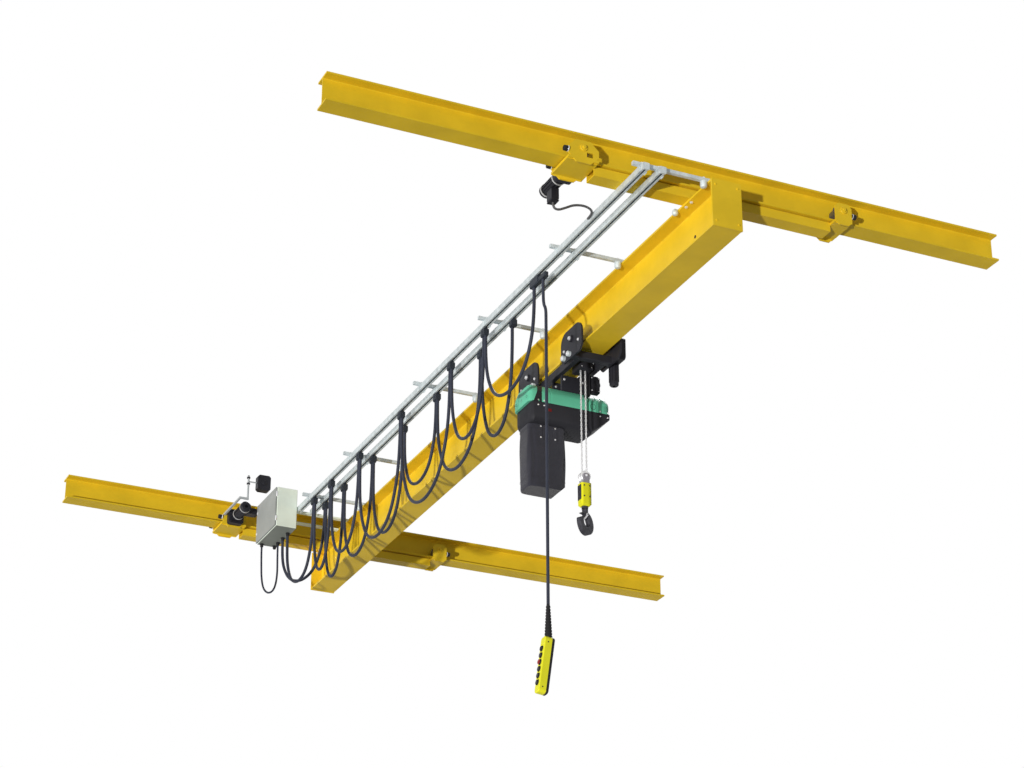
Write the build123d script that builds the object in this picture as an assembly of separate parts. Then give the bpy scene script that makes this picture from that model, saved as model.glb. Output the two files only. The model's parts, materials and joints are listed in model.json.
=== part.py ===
from build123d import *
import math
import os

# Underslung travelling crane, millimetres. The origin is on the top face of the near runway, over
# the girder. +X runs along the runways, +Y along the girder to the far runway, +Z up.

# Runways: two rolled I-beams that hang from the building by their top flanges
RUNWAY_SPAN = 5000
RUNWAY_HEIGHT = 150
RUNWAY_WIDTH = 110
RUNWAY_FLANGE = 9
RUNWAY_WEB = 6
NEAR_RUNWAY_ENDS = (-1950, 1700)
FAR_RUNWAY_ENDS = (-1750, 2450)

# Main girder: a heavier I-beam below the carriages, closed by a plate at each end
GIRDER_DROP = 206
GIRDER_HEIGHT = 252
GIRDER_WIDTH = 155
GIRDER_FLANGE = 11
GIRDER_WEB = 8
GIRDER_NEAR_END = -245
GIRDER_FAR_END = RUNWAY_SPAN + 62
END_PLATE = 10
GIRDER_BOTTOM = -GIRDER_DROP - GIRDER_HEIGHT

# End carriages: a tube below each runway with a wheel yoke at both ends. The left yoke is longer,
# because it carries the travel drive.
CARRIAGE_GAP = 7
CARRIAGE_TUBE_WIDTH = 80
CARRIAGE_TUBE_WALL = 5
LEFT_YOKE_X = (-752, -592)
RIGHT_YOKE_X = (708, 802)
YOKE_WIDTH = 190
YOKE_PLATE = 8
YOKE_SADDLE = 14
YOKE_TOP = -66
YOKE_BOTTOM = -186
LEFT_YOKE_CHAMFER = 42
RIGHT_YOKE_CHAMFER = 20
YOKE_WINDOW = (34, 12)

# Travel wheels, in pairs on stub axles either side of the runway web
WHEEL_RADIUS = 35
WHEEL_RIM_RADIUS = 42
WHEEL_TREAD = (17, 60)
WHEEL_RIM = 7
RIM_JOINT = 0.1
WHEEL_LIFT = 0.8
AXLE_RADIUS = 9
AXLE_CLEARANCE = 0.05
SOFT_GAP = 0.3
AXLE_BOSS_RADIUS = 17
SIDE_GAP = 5

BUFFER_RADIUS = 14
BUFFER_LENGTH = 24
BUFFER_DEPTH = 127

# Travel drives: a gear case on the inner side of each left yoke, with its motor along the girder
GEAR_CASE = (96, 44, 92)
GEAR_CASE_CORNER = 18
DRIVE_Z = -129
MOTOR_RADIUS = 33
MOTOR_LENGTH = 190
MOTOR_RIBS = 12
MOTOR_RIB = (4, 5)
MOTOR_CAP = 22
RING_RADIUS = 36
RING_WIDTH = 7
RING_SHARES = (0.2, 0.86)
TERMINAL_BOX = (40, 52, 74)
TERMINAL_CORNER = 14

# Festoon: two rails on cross arms at the left of the girder
RAIL_X = (-424, -335)
RAIL_WIDTH = 30
RAIL_HEIGHT = 32
RAIL_WALL = 2.5
RAIL_SLOT = 12
RAIL_ENDS = (-242, RUNWAY_SPAN - 608)
ARM_SIZE = 18
ARM_LEFT = -474
ARM_RIGHT = -52
ARM_Y = (-205, 685, 1555, 2435, 3500, RUNWAY_SPAN - 812)
CLAMP_RADIUS = 17
CLAMP_HEIGHT = 34
RAIL_CAP = 8

# Cable carriers, from the tow end to the cabinet end
CONTROL_CARRIER_Y = (1581, 2026, 2727, 3362, 3820, 4110)
SUPPLY_CARRIER_Y = (1824, 2424, 2899, 3373, 3837, 4150)
CARRIER_LENGTH = 46
CARRIER_NECK = 5
CARRIER_ROLLER_RADIUS = 11
CARRIER_ROLLER_WIDTH = 7
SADDLE_WIDTH = 30
SADDLE_HEIGHT = 42
SADDLE_GAP = 6
SADDLE_SHOULDER = 10

CABINET_X = (-580, -448)
CABINET_Y = (RUNWAY_SPAN - 648, RUNWAY_SPAN - 294)
CABINET_Z = (-360, -102)
CABINET_DOOR = 9
CABINET_BRACKET = 90
GLAND_RADIUS = 13
GLAND_NUT = 9
GLAND_DOME = 15

# Limit switch on a rod, on a bracket that reaches forward from the far left yoke
SWITCH_BRACKET_X = (-745, -733)
SWITCH_BRACKET_Z = (-116, -104)
SWITCH_ROD_X = -690
SWITCH_ROD = 6
SWITCH_REACH = 305
SWITCH_TOP = 46
SWITCH_HEAD_X = (-635, -550)
SWITCH_HEAD_DEPTH = 46
SWITCH_HEAD_Z = (-43, 59)

# Hoist trolley: two wheel frames on the girder's bottom flange, joined by side bars
CHAIN_Y = 1280
TROLLEY_AXLE_Y = (1180, 1700)
TROLLEY_WHEEL_RADIUS = 32
TROLLEY_RIM_RADIUS = 38
TROLLEY_TREAD = (24, 82)
TROLLEY_PLATE = 10
TROLLEY_PLATE_LENGTH = 240
TROLLEY_PLATE_TOP = GIRDER_BOTTOM + 106
TROLLEY_PLATE_BOTTOM = GIRDER_BOTTOM - 64
TROLLEY_PLATE_ARCH = 62
TROLLEY_PLATE_TAPER = 30
TROLLEY_PLATE_X = 106
TROLLEY_HUB = (19, 9)
CROSS_TUBE = 42
SIDE_BAR = 26
SIDE_BAR_X = (-74, 74)
GUARD_ROLLER = (15, 18)
GUARD_ROLLER_Y = (15, 78)
GUARD_ROLLER_Z = TROLLEY_PLATE_BOTTOM + 26
TROLLEY_GEAR = (54, 118, 84)
TROLLEY_MOTOR = (22, 120)

# Hoist: a long body across the girder, with the chain over a guide at its near side
HOIST_X = (-276, 188)
HOIST_Y = (1345, 1545)
HOIST_Z = (TROLLEY_PLATE_BOTTOM - 310, TROLLEY_PLATE_BOTTOM - 90)
HOIST_ROUND = 30
HOIST_COVER = (70, 46)
HOIST_BAND = 12
HOIST_LEFT_LIP = 14
HOIST_END_ROUND = 16
HOIST_FOOT_CUT = 96
HOIST_FOOT_STEP = 22
HANGER_WIDTH = 140
HANGER_INSET = 50
HANGER_PLATE = 8
GUIDE_X = (-30, 46)
GUIDE_DEPTH = 62
GUIDE_TOP = GIRDER_BOTTOM - 8
GUIDE_ROUND = 30
GUIDE_BACK_X = (32, 118)
GUIDE_BACK_Z = HOIST_Z[1] - 46

# Chain, its bag and the hook
CHAIN_FALL = 6
CHAIN_FALL_TOP = GIRDER_BOTTOM - 72
CHAIN_PITCH_X = 13
CHAIN_BAG_X = (-268, -46)
CHAIN_BAG_Y = (1375, 1515)
CHAIN_BAG_Z = (HOIST_Z[0] - 348, HOIST_Z[0] - SOFT_GAP)
CHAIN_BAG_CUT = 34
CHAIN_BAG_ROUND = 18
HOOK_BLOCK_TOP = -1101
SHEAVE_RADIUS = 29
SHEAVE_WIDTH = 34
SHEAVE_GAP = 1
GRIP_DROP = 41
GRIP_HEIGHT = 124
GRIP_HALF = (29, 27)
GRIP_TAPER = 9
HOOK_TURN = 30
HOOK_SHANK = 46
HOOK_COLLAR = (17, 12)
HOOK_BOWL = 42
HOOK_THICK = 32
HOOK_WIDTH = 24
LATCH_PIN = 3
LATCH_X = 2
LATCH_Z = 45
LATCH_TIP = (-26.5, 10)

# Pendant station on its own trolley on the left rail
TOW_Y = 950
PENDANT_Y = 838
PENDANT_TOP = -2034
SLEEVE_LENGTH = 165
TOW_ARM = 24
SLEEVE_RADII = (19, 10)
PENDANT_SIZE = (52, 50, 282)
PENDANT_BACK = 14
PENDANT_CORNER = 16
PENDANT_TILT = 8
PENDANT_KEYS = 6
KEY_FIRST = 62
KEY_STEP = 34
KEY_RADIUS = 12
KEY_HEIGHT = 7
CABLE_DIAMETER = 18
CONTROL_CABLE_DIAMETER = 12
PENDANT_CABLE_DIAMETER = 16


def block(x, y, z):
    """A box between two corners, each axis given as a pair."""
    size = (x[1] - x[0], y[1] - y[0], z[1] - z[0])
    centre = ((x[0] + x[1]) / 2, (y[0] + y[1]) / 2, (z[0] + z[1]) / 2)
    return Pos(*centre) * Box(*size)


def rod(radius, start, end):
    """A round bar from one point to another."""
    axis = Vector(*end) - Vector(*start)
    plane = Plane(origin=start, z_dir=axis)
    return extrude(plane * Circle(radius), axis.length)


def ring(outer, inner, start, end):
    """A sleeve from one point to another."""
    return rod(outer, start, end) - rod(inner, start, end)


def joined(shapes):
    """Fuse a list of touching solids."""
    result = shapes[0]
    for shape in shapes[1:]:
        result = result + shape
    return result


def save(name, *shapes):
    """Write a node as one STEP file."""
    shape = shapes[0] if len(shapes) == 1 else Compound(children=list(shapes))
    export_step(shape, f"parts/{name}.step")


def welded_beam(axis, run, centre, top, height, width, flange, web):
    """A welded I-beam along X or Y: its web, and its two flange plates."""
    def plate(across, z):
        side = (centre + across[0], centre + across[1])
        return block(run, side, z) if axis == "X" else block(side, run, z)
    middle = plate((-web / 2, web / 2), (top - height + flange, top - flange))
    upper = plate((-width / 2, width / 2), (top - flange, top))
    lower = plate((-width / 2, width / 2), (top - height, top - height + flange))
    return middle, [upper, lower]


def runways():
    size = (RUNWAY_HEIGHT, RUNWAY_WIDTH, RUNWAY_FLANGE, RUNWAY_WEB)
    near_web, near_flanges = welded_beam("X", NEAR_RUNWAY_ENDS, 0, 0, *size)
    far_web, far_flanges = welded_beam("X", FAR_RUNWAY_ENDS, RUNWAY_SPAN, 0, *size)
    save("runway_webs", near_web, far_web)
    save("runway_flanges", *(near_flanges + far_flanges))


CARRIAGE_TOP = -RUNWAY_HEIGHT - CARRIAGE_GAP


def girder():
    ends = (GIRDER_NEAR_END, GIRDER_FAR_END)
    size = (GIRDER_HEIGHT, GIRDER_WIDTH, GIRDER_FLANGE, GIRDER_WEB)
    web, flanges = welded_beam("Y", ends, 0, -GIRDER_DROP, *size)
    save("girder_web", web)
    save("girder_flanges", *flanges)
    across = (-GIRDER_WIDTH / 2 - 2, GIRDER_WIDTH / 2 + 2)
    upright = (GIRDER_BOTTOM - 2, -GIRDER_DROP)
    near = block(across, (GIRDER_NEAR_END - END_PLATE, GIRDER_NEAR_END), upright)
    far = block(across, (GIRDER_FAR_END, GIRDER_FAR_END + END_PLATE), upright)
    save("girder_end_plates", near, far)


def carriage_tube(y):
    """The tube that joins two wheel yokes and carries the girder, closed by the yokes."""
    ends = (LEFT_YOKE_X[1], RIGHT_YOKE_X[0])
    half = CARRIAGE_TUBE_WIDTH / 2
    wall = CARRIAGE_TUBE_WALL
    outer = block(ends, (y - half, y + half), (-GIRDER_DROP, CARRIAGE_TOP))
    inner = block(ends, (y - half + wall, y + half - wall), (-GIRDER_DROP + wall, CARRIAGE_TOP - wall))
    return outer - inner


WHEEL_AXLE_Z = -RUNWAY_HEIGHT + RUNWAY_FLANGE + WHEEL_RADIUS + WHEEL_LIFT
WHEEL_OUTSIDE = WHEEL_TREAD[1] + WHEEL_RIM


LEFT_YOKE_CENTRE = (LEFT_YOKE_X[0] + LEFT_YOKE_X[1]) / 2
RIGHT_YOKE_CENTRE = (RIGHT_YOKE_X[0] + RIGHT_YOKE_X[1]) / 2


def yoke_plate(x, chamfer_size, outside, inside):
    """An eight-sided side plate with a window in its lower half."""
    plate = block(x, sorted((outside, inside)), (YOKE_BOTTOM, YOKE_TOP))
    plate = chamfer(plate.edges().filter_by(Axis.Y), chamfer_size)
    middle = (x[0] + x[1]) / 2
    if x[1] - x[0] > 3 * YOKE_WINDOW[0]:
        cut = (middle + YOKE_WINDOW[0] / 2, middle + 3 * YOKE_WINDOW[0] / 2)
        height = (CARRIAGE_TOP - YOKE_SADDLE / 2 + YOKE_WINDOW[1], CARRIAGE_TOP + 2 * YOKE_WINDOW[1] + YOKE_SADDLE / 2)
        plate = plate - block(cut, sorted((outside, inside)), height)
    return plate


def yoke(x, chamfer_size, y):
    """One wheel yoke: two side plates, the saddle between them and two stub axles in their bosses."""
    saddle = block(x, (y - YOKE_WIDTH / 2, y + YOKE_WIDTH / 2), (CARRIAGE_TOP - YOKE_SADDLE, CARRIAGE_TOP))
    shapes = [saddle]
    axle_x = (x[0] + x[1]) / 2
    for hand in (-1, 1):
        outside = y + hand * YOKE_WIDTH / 2
        inside = outside - hand * YOKE_PLATE
        shapes.append(yoke_plate(x, chamfer_size, outside, inside))
        boss_end = y + hand * (WHEEL_OUTSIDE + SIDE_GAP)
        shapes.append(rod(AXLE_BOSS_RADIUS, (axle_x, inside, WHEEL_AXLE_Z), (axle_x, boss_end, WHEEL_AXLE_Z)))
        tip = y + hand * (WHEEL_TREAD[0] - 3)
        shapes.append(rod(AXLE_RADIUS, (axle_x, inside, WHEEL_AXLE_Z), (axle_x, tip, WHEEL_AXLE_Z)))
    return joined(shapes)


def wheel(x, y, z, hand, radius, rim_radius, tread, rim, bore):
    """A tread disc on the side of a web given by hand, and its rim outside the beam's flange."""
    def at(offset):
        return (x, y + hand * offset, z)
    disc = ring(radius, bore, at(tread[0]), at(tread[1] - RIM_JOINT))
    return [disc, ring(rim_radius, bore, at(tread[1]), at(tread[1] + rim))]


def travel_wheels(name, x, y):
    bore = AXLE_RADIUS + AXLE_CLEARANCE
    discs = []
    for hand in (-1, 1):
        discs += wheel(x, y, WHEEL_AXLE_Z, hand, WHEEL_RADIUS, WHEEL_RIM_RADIUS, WHEEL_TREAD, WHEEL_RIM, bore)
    save(name, *discs)


def buffers(y):
    """Rubber buffers on the outer ends of a carriage."""
    result = []
    for side, start_x in ((-1, LEFT_YOKE_X[0]), (1, RIGHT_YOKE_X[1])):
        for hand in (-1, 1):
            seat_y = y + hand * (YOKE_WIDTH / 2 - YOKE_PLATE / 2)
            start = (start_x, seat_y, -BUFFER_DEPTH)
            end = (start_x + side * BUFFER_LENGTH, seat_y, -BUFFER_DEPTH)
            cap = rod(BUFFER_RADIUS, start, end)
            rim = cap.edges().filter_by(GeomType.CIRCLE).sort_by(Axis.X)
            tip = rim[0] if side < 0 else rim[-1]
            result.append(fillet(tip, BUFFER_RADIUS / 3))
    return result


def motor_body(radius, start, end, ribs):
    """A motor barrel with cooling ribs along it and a rounded cap at its far end."""
    axis = (Vector(*end) - Vector(*start)).normalized()
    barrel = rod(radius, start, end)
    far_rim = barrel.edges().filter_by(GeomType.CIRCLE).sort_by_distance(end)[0]
    barrel = fillet(far_rim, MOTOR_RIB[1])
    frame = Plane(origin=start, z_dir=axis)
    length = (Vector(*end) - Vector(*start)).length - MOTOR_CAP
    for number in range(ribs):
        turn = number * 360 / ribs
        rib = Pos(radius, 0, length / 2) * Box(2 * MOTOR_RIB[1], MOTOR_RIB[0], length)
        barrel = barrel + frame * (Rot(0, 0, turn) * rib)
    return barrel


def travel_drive(y, hand, box_side):
    """A gear case, motor and terminal box on the inner side of the left yoke."""
    x = LEFT_YOKE_CENTRE
    face = y + hand * YOKE_WIDTH / 2
    z = DRIVE_Z
    case = block(
        (x - GEAR_CASE[0] / 2, x + GEAR_CASE[0] / 2),
        sorted((face, face + hand * GEAR_CASE[1])),
        (z - GEAR_CASE[2] / 2, z + GEAR_CASE[2] / 2),
    )
    case = fillet(case.edges().filter_by(Axis.Y), GEAR_CASE_CORNER)
    motor_start = face + hand * GEAR_CASE[1]
    motor_end = motor_start + hand * MOTOR_LENGTH
    motor = motor_body(MOTOR_RADIUS - MOTOR_RIB[1], (x, motor_start, z), (x, motor_end, z), MOTOR_RIBS)
    box_y = motor_start + hand * (RING_SHARES[0] + RING_SHARES[1]) / 2 * MOTOR_LENGTH
    middle = MOTOR_RADIUS - 2 * MOTOR_RIB[1] + TERMINAL_BOX[2] / 2
    if box_side == "below":
        box = Pos(x, box_y, z - middle) * Box(TERMINAL_BOX[0], TERMINAL_BOX[1], TERMINAL_BOX[2])
        box = fillet(box.edges().filter_by(Axis.Y), TERMINAL_CORNER)
    else:
        box = Pos(x + middle, box_y, z) * Box(TERMINAL_BOX[2], TERMINAL_BOX[1], TERMINAL_BOX[0])
        box = fillet(box.edges().filter_by(Axis.Y), TERMINAL_CORNER)
    rings = []
    for share in RING_SHARES:
        ring_y = motor_start + hand * MOTOR_LENGTH * share
        start = (x, ring_y - RING_WIDTH / 2, z)
        end = (x, ring_y + RING_WIDTH / 2, z)
        rings.append(ring(RING_RADIUS, MOTOR_RADIUS + SOFT_GAP, start, end))
    return joined([case, motor, box]), rings


def yoke_pair(y):
    left = yoke(LEFT_YOKE_X, LEFT_YOKE_CHAMFER, y)
    right = yoke(RIGHT_YOKE_X, RIGHT_YOKE_CHAMFER, y)
    return left, right


def carriages():
    save("carriage_beams", carriage_tube(0), carriage_tube(RUNWAY_SPAN))
    save("wheel_yokes_near", *yoke_pair(0))
    save("wheel_yokes_far", *yoke_pair(RUNWAY_SPAN))
    travel_wheels("wheels_near_left", LEFT_YOKE_CENTRE, 0)
    travel_wheels("wheels_near_right", RIGHT_YOKE_CENTRE, 0)
    travel_wheels("wheels_far_left", LEFT_YOKE_CENTRE, RUNWAY_SPAN)
    travel_wheels("wheels_far_right", RIGHT_YOKE_CENTRE, RUNWAY_SPAN)
    save("buffers", *(buffers(0) + buffers(RUNWAY_SPAN)))
    near_drive, near_rings = travel_drive(0, 1, "below")
    far_drive, far_rings = travel_drive(RUNWAY_SPAN, -1, "right")
    save("travel_drive_near", near_drive)
    save("travel_drive_far", far_drive)
    save("drive_rings", *(near_rings + far_rings))


def limit_switch():
    """A limit switch on an upright rod, with the bracket that carries it."""
    x = SWITCH_ROD_X
    yoke_face = RUNWAY_SPAN - YOKE_WIDTH / 2
    y = yoke_face - SWITCH_REACH
    foot = block(SWITCH_BRACKET_X, (y - SWITCH_ROD, yoke_face), SWITCH_BRACKET_Z)
    cross = block((SWITCH_BRACKET_X[0], x + SWITCH_ROD), (y - SWITCH_ROD, y + SWITCH_ROD), SWITCH_BRACKET_Z)
    post = rod(SWITCH_ROD, (x, y, SWITCH_BRACKET_Z[0]), (x, y, SWITCH_TOP))
    middle = (SWITCH_HEAD_Z[0] + SWITCH_HEAD_Z[1]) / 2
    arm = rod(SWITCH_ROD * 0.7, (x, y, middle), (SWITCH_HEAD_X[0], y, middle))
    half = SWITCH_HEAD_DEPTH / 2
    head = block(SWITCH_HEAD_X, (y - half, y + half), SWITCH_HEAD_Z)
    head = chamfer(head.edges().filter_by(Axis.Y), SWITCH_HEAD_DEPTH / 4)
    save("limit_switch", joined([foot, cross, post, arm, head]))


ARM_Z = (-GIRDER_DROP, -GIRDER_DROP + ARM_SIZE)
RAIL_TOP = ARM_Z[0]
RAIL_BOTTOM = RAIL_TOP - RAIL_HEIGHT


def rail(x):
    """A C-rail with its slot below."""
    outer = block((x - RAIL_WIDTH / 2, x + RAIL_WIDTH / 2), RAIL_ENDS, (RAIL_BOTTOM, RAIL_TOP))
    inner = block(
        (x - RAIL_WIDTH / 2 + RAIL_WALL, x + RAIL_WIDTH / 2 - RAIL_WALL),
        RAIL_ENDS,
        (RAIL_BOTTOM + RAIL_WALL, RAIL_TOP - RAIL_WALL),
    )
    slot = block((x - RAIL_SLOT / 2, x + RAIL_SLOT / 2), RAIL_ENDS, (RAIL_BOTTOM, RAIL_BOTTOM + RAIL_WALL))
    return outer - inner - slot


def arm(y):
    """A cross arm below the girder's top flange, reaching left over both rails."""
    return block((ARM_LEFT, ARM_RIGHT), (y - ARM_SIZE / 2, y + ARM_SIZE / 2), ARM_Z)


def arm_clamp(y):
    """The round clamp that holds a cross arm on the edge of the girder's top flange."""
    edge = -GIRDER_WIDTH / 2 - CLAMP_RADIUS
    drum = rod(CLAMP_RADIUS, (edge, y, ARM_Z[0]), (edge, y, ARM_Z[0] - CLAMP_HEIGHT))
    low_rim = drum.edges().filter_by(GeomType.CIRCLE).sort_by(Axis.Z)[0]
    return fillet(low_rim, CLAMP_RADIUS * 0.6)


def rail_end_cap(x):
    """The plug that closes a rail's near end."""
    plug = block(
        (x - RAIL_WIDTH / 2 - 2, x + RAIL_WIDTH / 2 + 2),
        (RAIL_ENDS[0] - RAIL_CAP, RAIL_ENDS[0]),
        (RAIL_BOTTOM - 4, RAIL_TOP),
    )
    return fillet(plug.edges().filter_by(Axis.Y), 4)


def festoon_frame():
    save("festoon_rails", *[rail(x) + rail_end_cap(x) for x in RAIL_X])
    save("festoon_arms", *[arm(y) + arm_clamp(y) for y in ARM_Y])


ROLLER_Z = RAIL_BOTTOM + RAIL_WALL + CARRIER_ROLLER_RADIUS + 0.3


def carrier(x, y, length):
    """A cable carrier: two pairs of rollers in the rail, a neck through its slot and a curved saddle."""
    shapes = []
    for offset in (-length / 4, length / 4):
        for hand in (-1, 1):
            start = (x, y + offset, ROLLER_Z)
            end = (x + hand * (CARRIER_NECK / 2 + CARRIER_ROLLER_WIDTH), y + offset, ROLLER_Z)
            shapes.append(rod(CARRIER_ROLLER_RADIUS, start, end))
    neck_bottom = RAIL_BOTTOM - SADDLE_GAP
    neck = block(
        (x - CARRIER_NECK / 2, x + CARRIER_NECK / 2),
        (y - length / 2, y + length / 2),
        (neck_bottom, ROLLER_Z + 4),
    )
    saddle = block(
        (x - SADDLE_WIDTH / 2, x + SADDLE_WIDTH / 2),
        (y - length / 2, y + length / 2),
        (neck_bottom - SADDLE_HEIGHT, neck_bottom),
    )
    saddle = fillet(saddle.edges().filter_by(Axis.X).sort_by(Axis.Z)[-2:], SADDLE_SHOULDER)
    saddle = chamfer(saddle.edges().filter_by(Axis.Y).sort_by(Axis.Z)[:2], 5)
    return joined(shapes + [neck, saddle])


SADDLE_BOTTOM = RAIL_BOTTOM - SADDLE_GAP - SADDLE_HEIGHT


def carriers():
    for number, y in enumerate(CONTROL_CARRIER_Y, 1):
        save(f"control_carrier_{number}", carrier(RAIL_X[0], y, CARRIER_LENGTH))
    for number, y in enumerate(SUPPLY_CARRIER_Y, 1):
        save(f"supply_carrier_{number}", carrier(RAIL_X[1], y, CARRIER_LENGTH))


CABINET_GLAND_Y = tuple(CABINET_Y[0] + share * (CABINET_Y[1] - CABINET_Y[0]) for share in (0.25, 0.5, 0.75, 0.93))


def cabinet():
    body = block(CABINET_X, CABINET_Y, CABINET_Z)
    body = fillet(body.edges(), 5)
    door = block(
        (CABINET_X[0] - CABINET_DOOR, CABINET_X[0]),
        (CABINET_Y[0] + 6, CABINET_Y[1] - 6),
        (CABINET_Z[0] + 6, CABINET_Z[1] - 6),
    )
    door = chamfer(door.faces().sort_by(Axis.X)[0].edges(), CABINET_DOOR / 3)
    shapes = [body, door]
    for y in (CABINET_Y[0] + CABINET_BRACKET, CABINET_Y[1] - CABINET_BRACKET):
        shapes.append(block((CABINET_X[1], -GIRDER_WIDTH / 2), (y - 15, y + 15), (-GIRDER_DROP - 10, -GIRDER_DROP)))
    save("control_cabinet", joined(shapes))
    glands = []
    for x, y in GLAND_PLACES:
        glands.append(cabinet_gland(x, y))
    save("cabinet_glands", *glands)


GLAND_PLACES = [(CABINET_X[0] + 24, CABINET_GLAND_Y[3])] + [(CABINET_X[1] - 24, y) for y in CABINET_GLAND_Y]


def cabinet_gland(x, y):
    """A cable gland below the cabinet: a six-sided nut and a rounded dome."""
    top = CABINET_Z[0]
    nut = extrude(Plane(origin=(x, y, top)) * RegularPolygon(GLAND_RADIUS, 6), -GLAND_NUT)
    dome = rod(GLAND_RADIUS * 0.8, (x, y, top - GLAND_NUT), (x, y, top - GLAND_NUT - GLAND_DOME))
    low_rim = dome.edges().filter_by(GeomType.CIRCLE).sort_by(Axis.Z)[0]
    return nut + fillet(low_rim, GLAND_DOME / 3)


TROLLEY_AXLE_Z = GIRDER_BOTTOM + GIRDER_FLANGE + TROLLEY_WHEEL_RADIUS + WHEEL_LIFT


def trolley_plate(hand, y):
    """A side plate of the hoist trolley, arched over its two wheels, with the stub axle's boss."""
    inside = hand * TROLLEY_PLATE_X
    outside = inside + hand * TROLLEY_PLATE
    half = TROLLEY_PLATE_LENGTH / 2
    plate = block(
        sorted((inside, outside)),
        (y - half, y + half),
        (TROLLEY_PLATE_BOTTOM, TROLLEY_PLATE_TOP),
    )
    across = plate.edges().filter_by(Axis.X)
    plate = fillet(across.sort_by(Axis.Z)[-2:], TROLLEY_PLATE_ARCH)
    plate = chamfer(plate.edges().filter_by(Axis.X).sort_by(Axis.Z)[:2], TROLLEY_PLATE_TAPER)
    hub_end = outside + hand * TROLLEY_HUB[1]
    hub = rod(TROLLEY_HUB[0], (outside, y, TROLLEY_AXLE_Z), (hub_end, y, TROLLEY_AXLE_Z))
    hub = fillet(hub.edges().filter_by(GeomType.CIRCLE).sort_by_distance((hub_end, y, TROLLEY_AXLE_Z))[0], 3)
    axle = rod(AXLE_RADIUS, (inside, y, TROLLEY_AXLE_Z), (hand * (TROLLEY_TREAD[0] - 3), y, TROLLEY_AXLE_Z))
    return joined([plate, hub, axle])


def trolley_frame(name, y):
    tube_z = (TROLLEY_PLATE_BOTTOM, TROLLEY_PLATE_BOTTOM + CROSS_TUBE)
    tube = block(
        (-TROLLEY_PLATE_X, TROLLEY_PLATE_X),
        (y - CROSS_TUBE / 2, y + CROSS_TUBE / 2),
        tube_z,
    )
    tube = fillet(tube.edges().filter_by(Axis.X), 5)
    save(name, joined([trolley_plate(-1, y), trolley_plate(1, y), tube]))


def trolley_wheels(name, y):
    bore = AXLE_RADIUS + AXLE_CLEARANCE
    discs = []
    for hand in (-1, 1):
        def at(offset):
            return (hand * offset, y, TROLLEY_AXLE_Z)
        discs.append(ring(TROLLEY_WHEEL_RADIUS, bore, at(TROLLEY_TREAD[0]), at(TROLLEY_TREAD[1] - RIM_JOINT)))
        discs.append(ring(TROLLEY_RIM_RADIUS, bore, at(TROLLEY_TREAD[1]), at(TROLLEY_TREAD[1] + WHEEL_RIM)))
    save(name, *discs)


def guide_roller(hand, y, z):
    """A zinc-plated guard roller on the outside of a trolley plate."""
    start = hand * (TROLLEY_PLATE_X + TROLLEY_PLATE)
    end = start + hand * GUARD_ROLLER[1]
    roller = rod(GUARD_ROLLER[0], (start, y, z), (end, y, z))
    return fillet(roller.edges().filter_by(GeomType.CIRCLE).sort_by_distance((end, y, z))[0], 4)


def trolley_drive():
    """The trolley's gear case on the right front plate, with its motor hanging down."""
    plate_face = TROLLEY_PLATE_X + TROLLEY_PLATE
    y = TROLLEY_AXLE_Y[0]
    case = block(
        (plate_face, plate_face + TROLLEY_GEAR[0]),
        (y - TROLLEY_GEAR[1] / 2, y + TROLLEY_GEAR[1] / 2),
        (TROLLEY_AXLE_Z - TROLLEY_GEAR[2], TROLLEY_AXLE_Z + TROLLEY_RIM_RADIUS),
    )
    case = fillet(case.edges().filter_by(Axis.X), 16)
    hub_room = rod(
        TROLLEY_HUB[0] + 1, (plate_face, y, TROLLEY_AXLE_Z), (plate_face + TROLLEY_HUB[1] + 1, y, TROLLEY_AXLE_Z))
    motor_x = plate_face + TROLLEY_GEAR[0] - TROLLEY_MOTOR[0]
    motor_y = y + TROLLEY_GEAR[1] / 2 - TROLLEY_MOTOR[0]
    motor_top = TROLLEY_AXLE_Z - TROLLEY_GEAR[2]
    motor = motor_body(
        TROLLEY_MOTOR[0], (motor_x, motor_y, motor_top), (motor_x, motor_y, motor_top - TROLLEY_MOTOR[1]), 10)
    return joined([case - hub_room, motor])


def hoist_trolley():
    trolley_frame("trolley_frame_front", TROLLEY_AXLE_Y[0])
    trolley_frame("trolley_frame_rear", TROLLEY_AXLE_Y[1])
    trolley_wheels("trolley_wheels_front", TROLLEY_AXLE_Y[0])
    trolley_wheels("trolley_wheels_rear", TROLLEY_AXLE_Y[1])
    bars = []
    for x in SIDE_BAR_X:
        bars.append(block(
            (x - SIDE_BAR / 2, x + SIDE_BAR / 2),
            (TROLLEY_AXLE_Y[0] + CROSS_TUBE / 2, TROLLEY_AXLE_Y[1] - CROSS_TUBE / 2),
            (TROLLEY_PLATE_BOTTOM, TROLLEY_PLATE_BOTTOM + CROSS_TUBE),
        ))
    save("trolley_side_bars", *bars)
    save("trolley_drive", trolley_drive())
    rollers = []
    for axle_y, turned in ((TROLLEY_AXLE_Y[0], 1), (TROLLEY_AXLE_Y[1], -1)):
        for step in GUARD_ROLLER_Y:
            rollers.append(guide_roller(-1, axle_y + turned * step, GUARD_ROLLER_Z))
            rollers.append(guide_roller(1, axle_y + turned * step, GUARD_ROLLER_Z))
    save("trolley_guard_rollers", *[r for r in rollers if r.center().X < 0])


HOIST_SPLIT_Z = (HOIST_Z[0] + HOIST_Z[1]) / 2
HOIST_INNER_X = (HOIST_X[0] + HOIST_COVER[0], HOIST_X[1] - HOIST_COVER[1])


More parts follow.
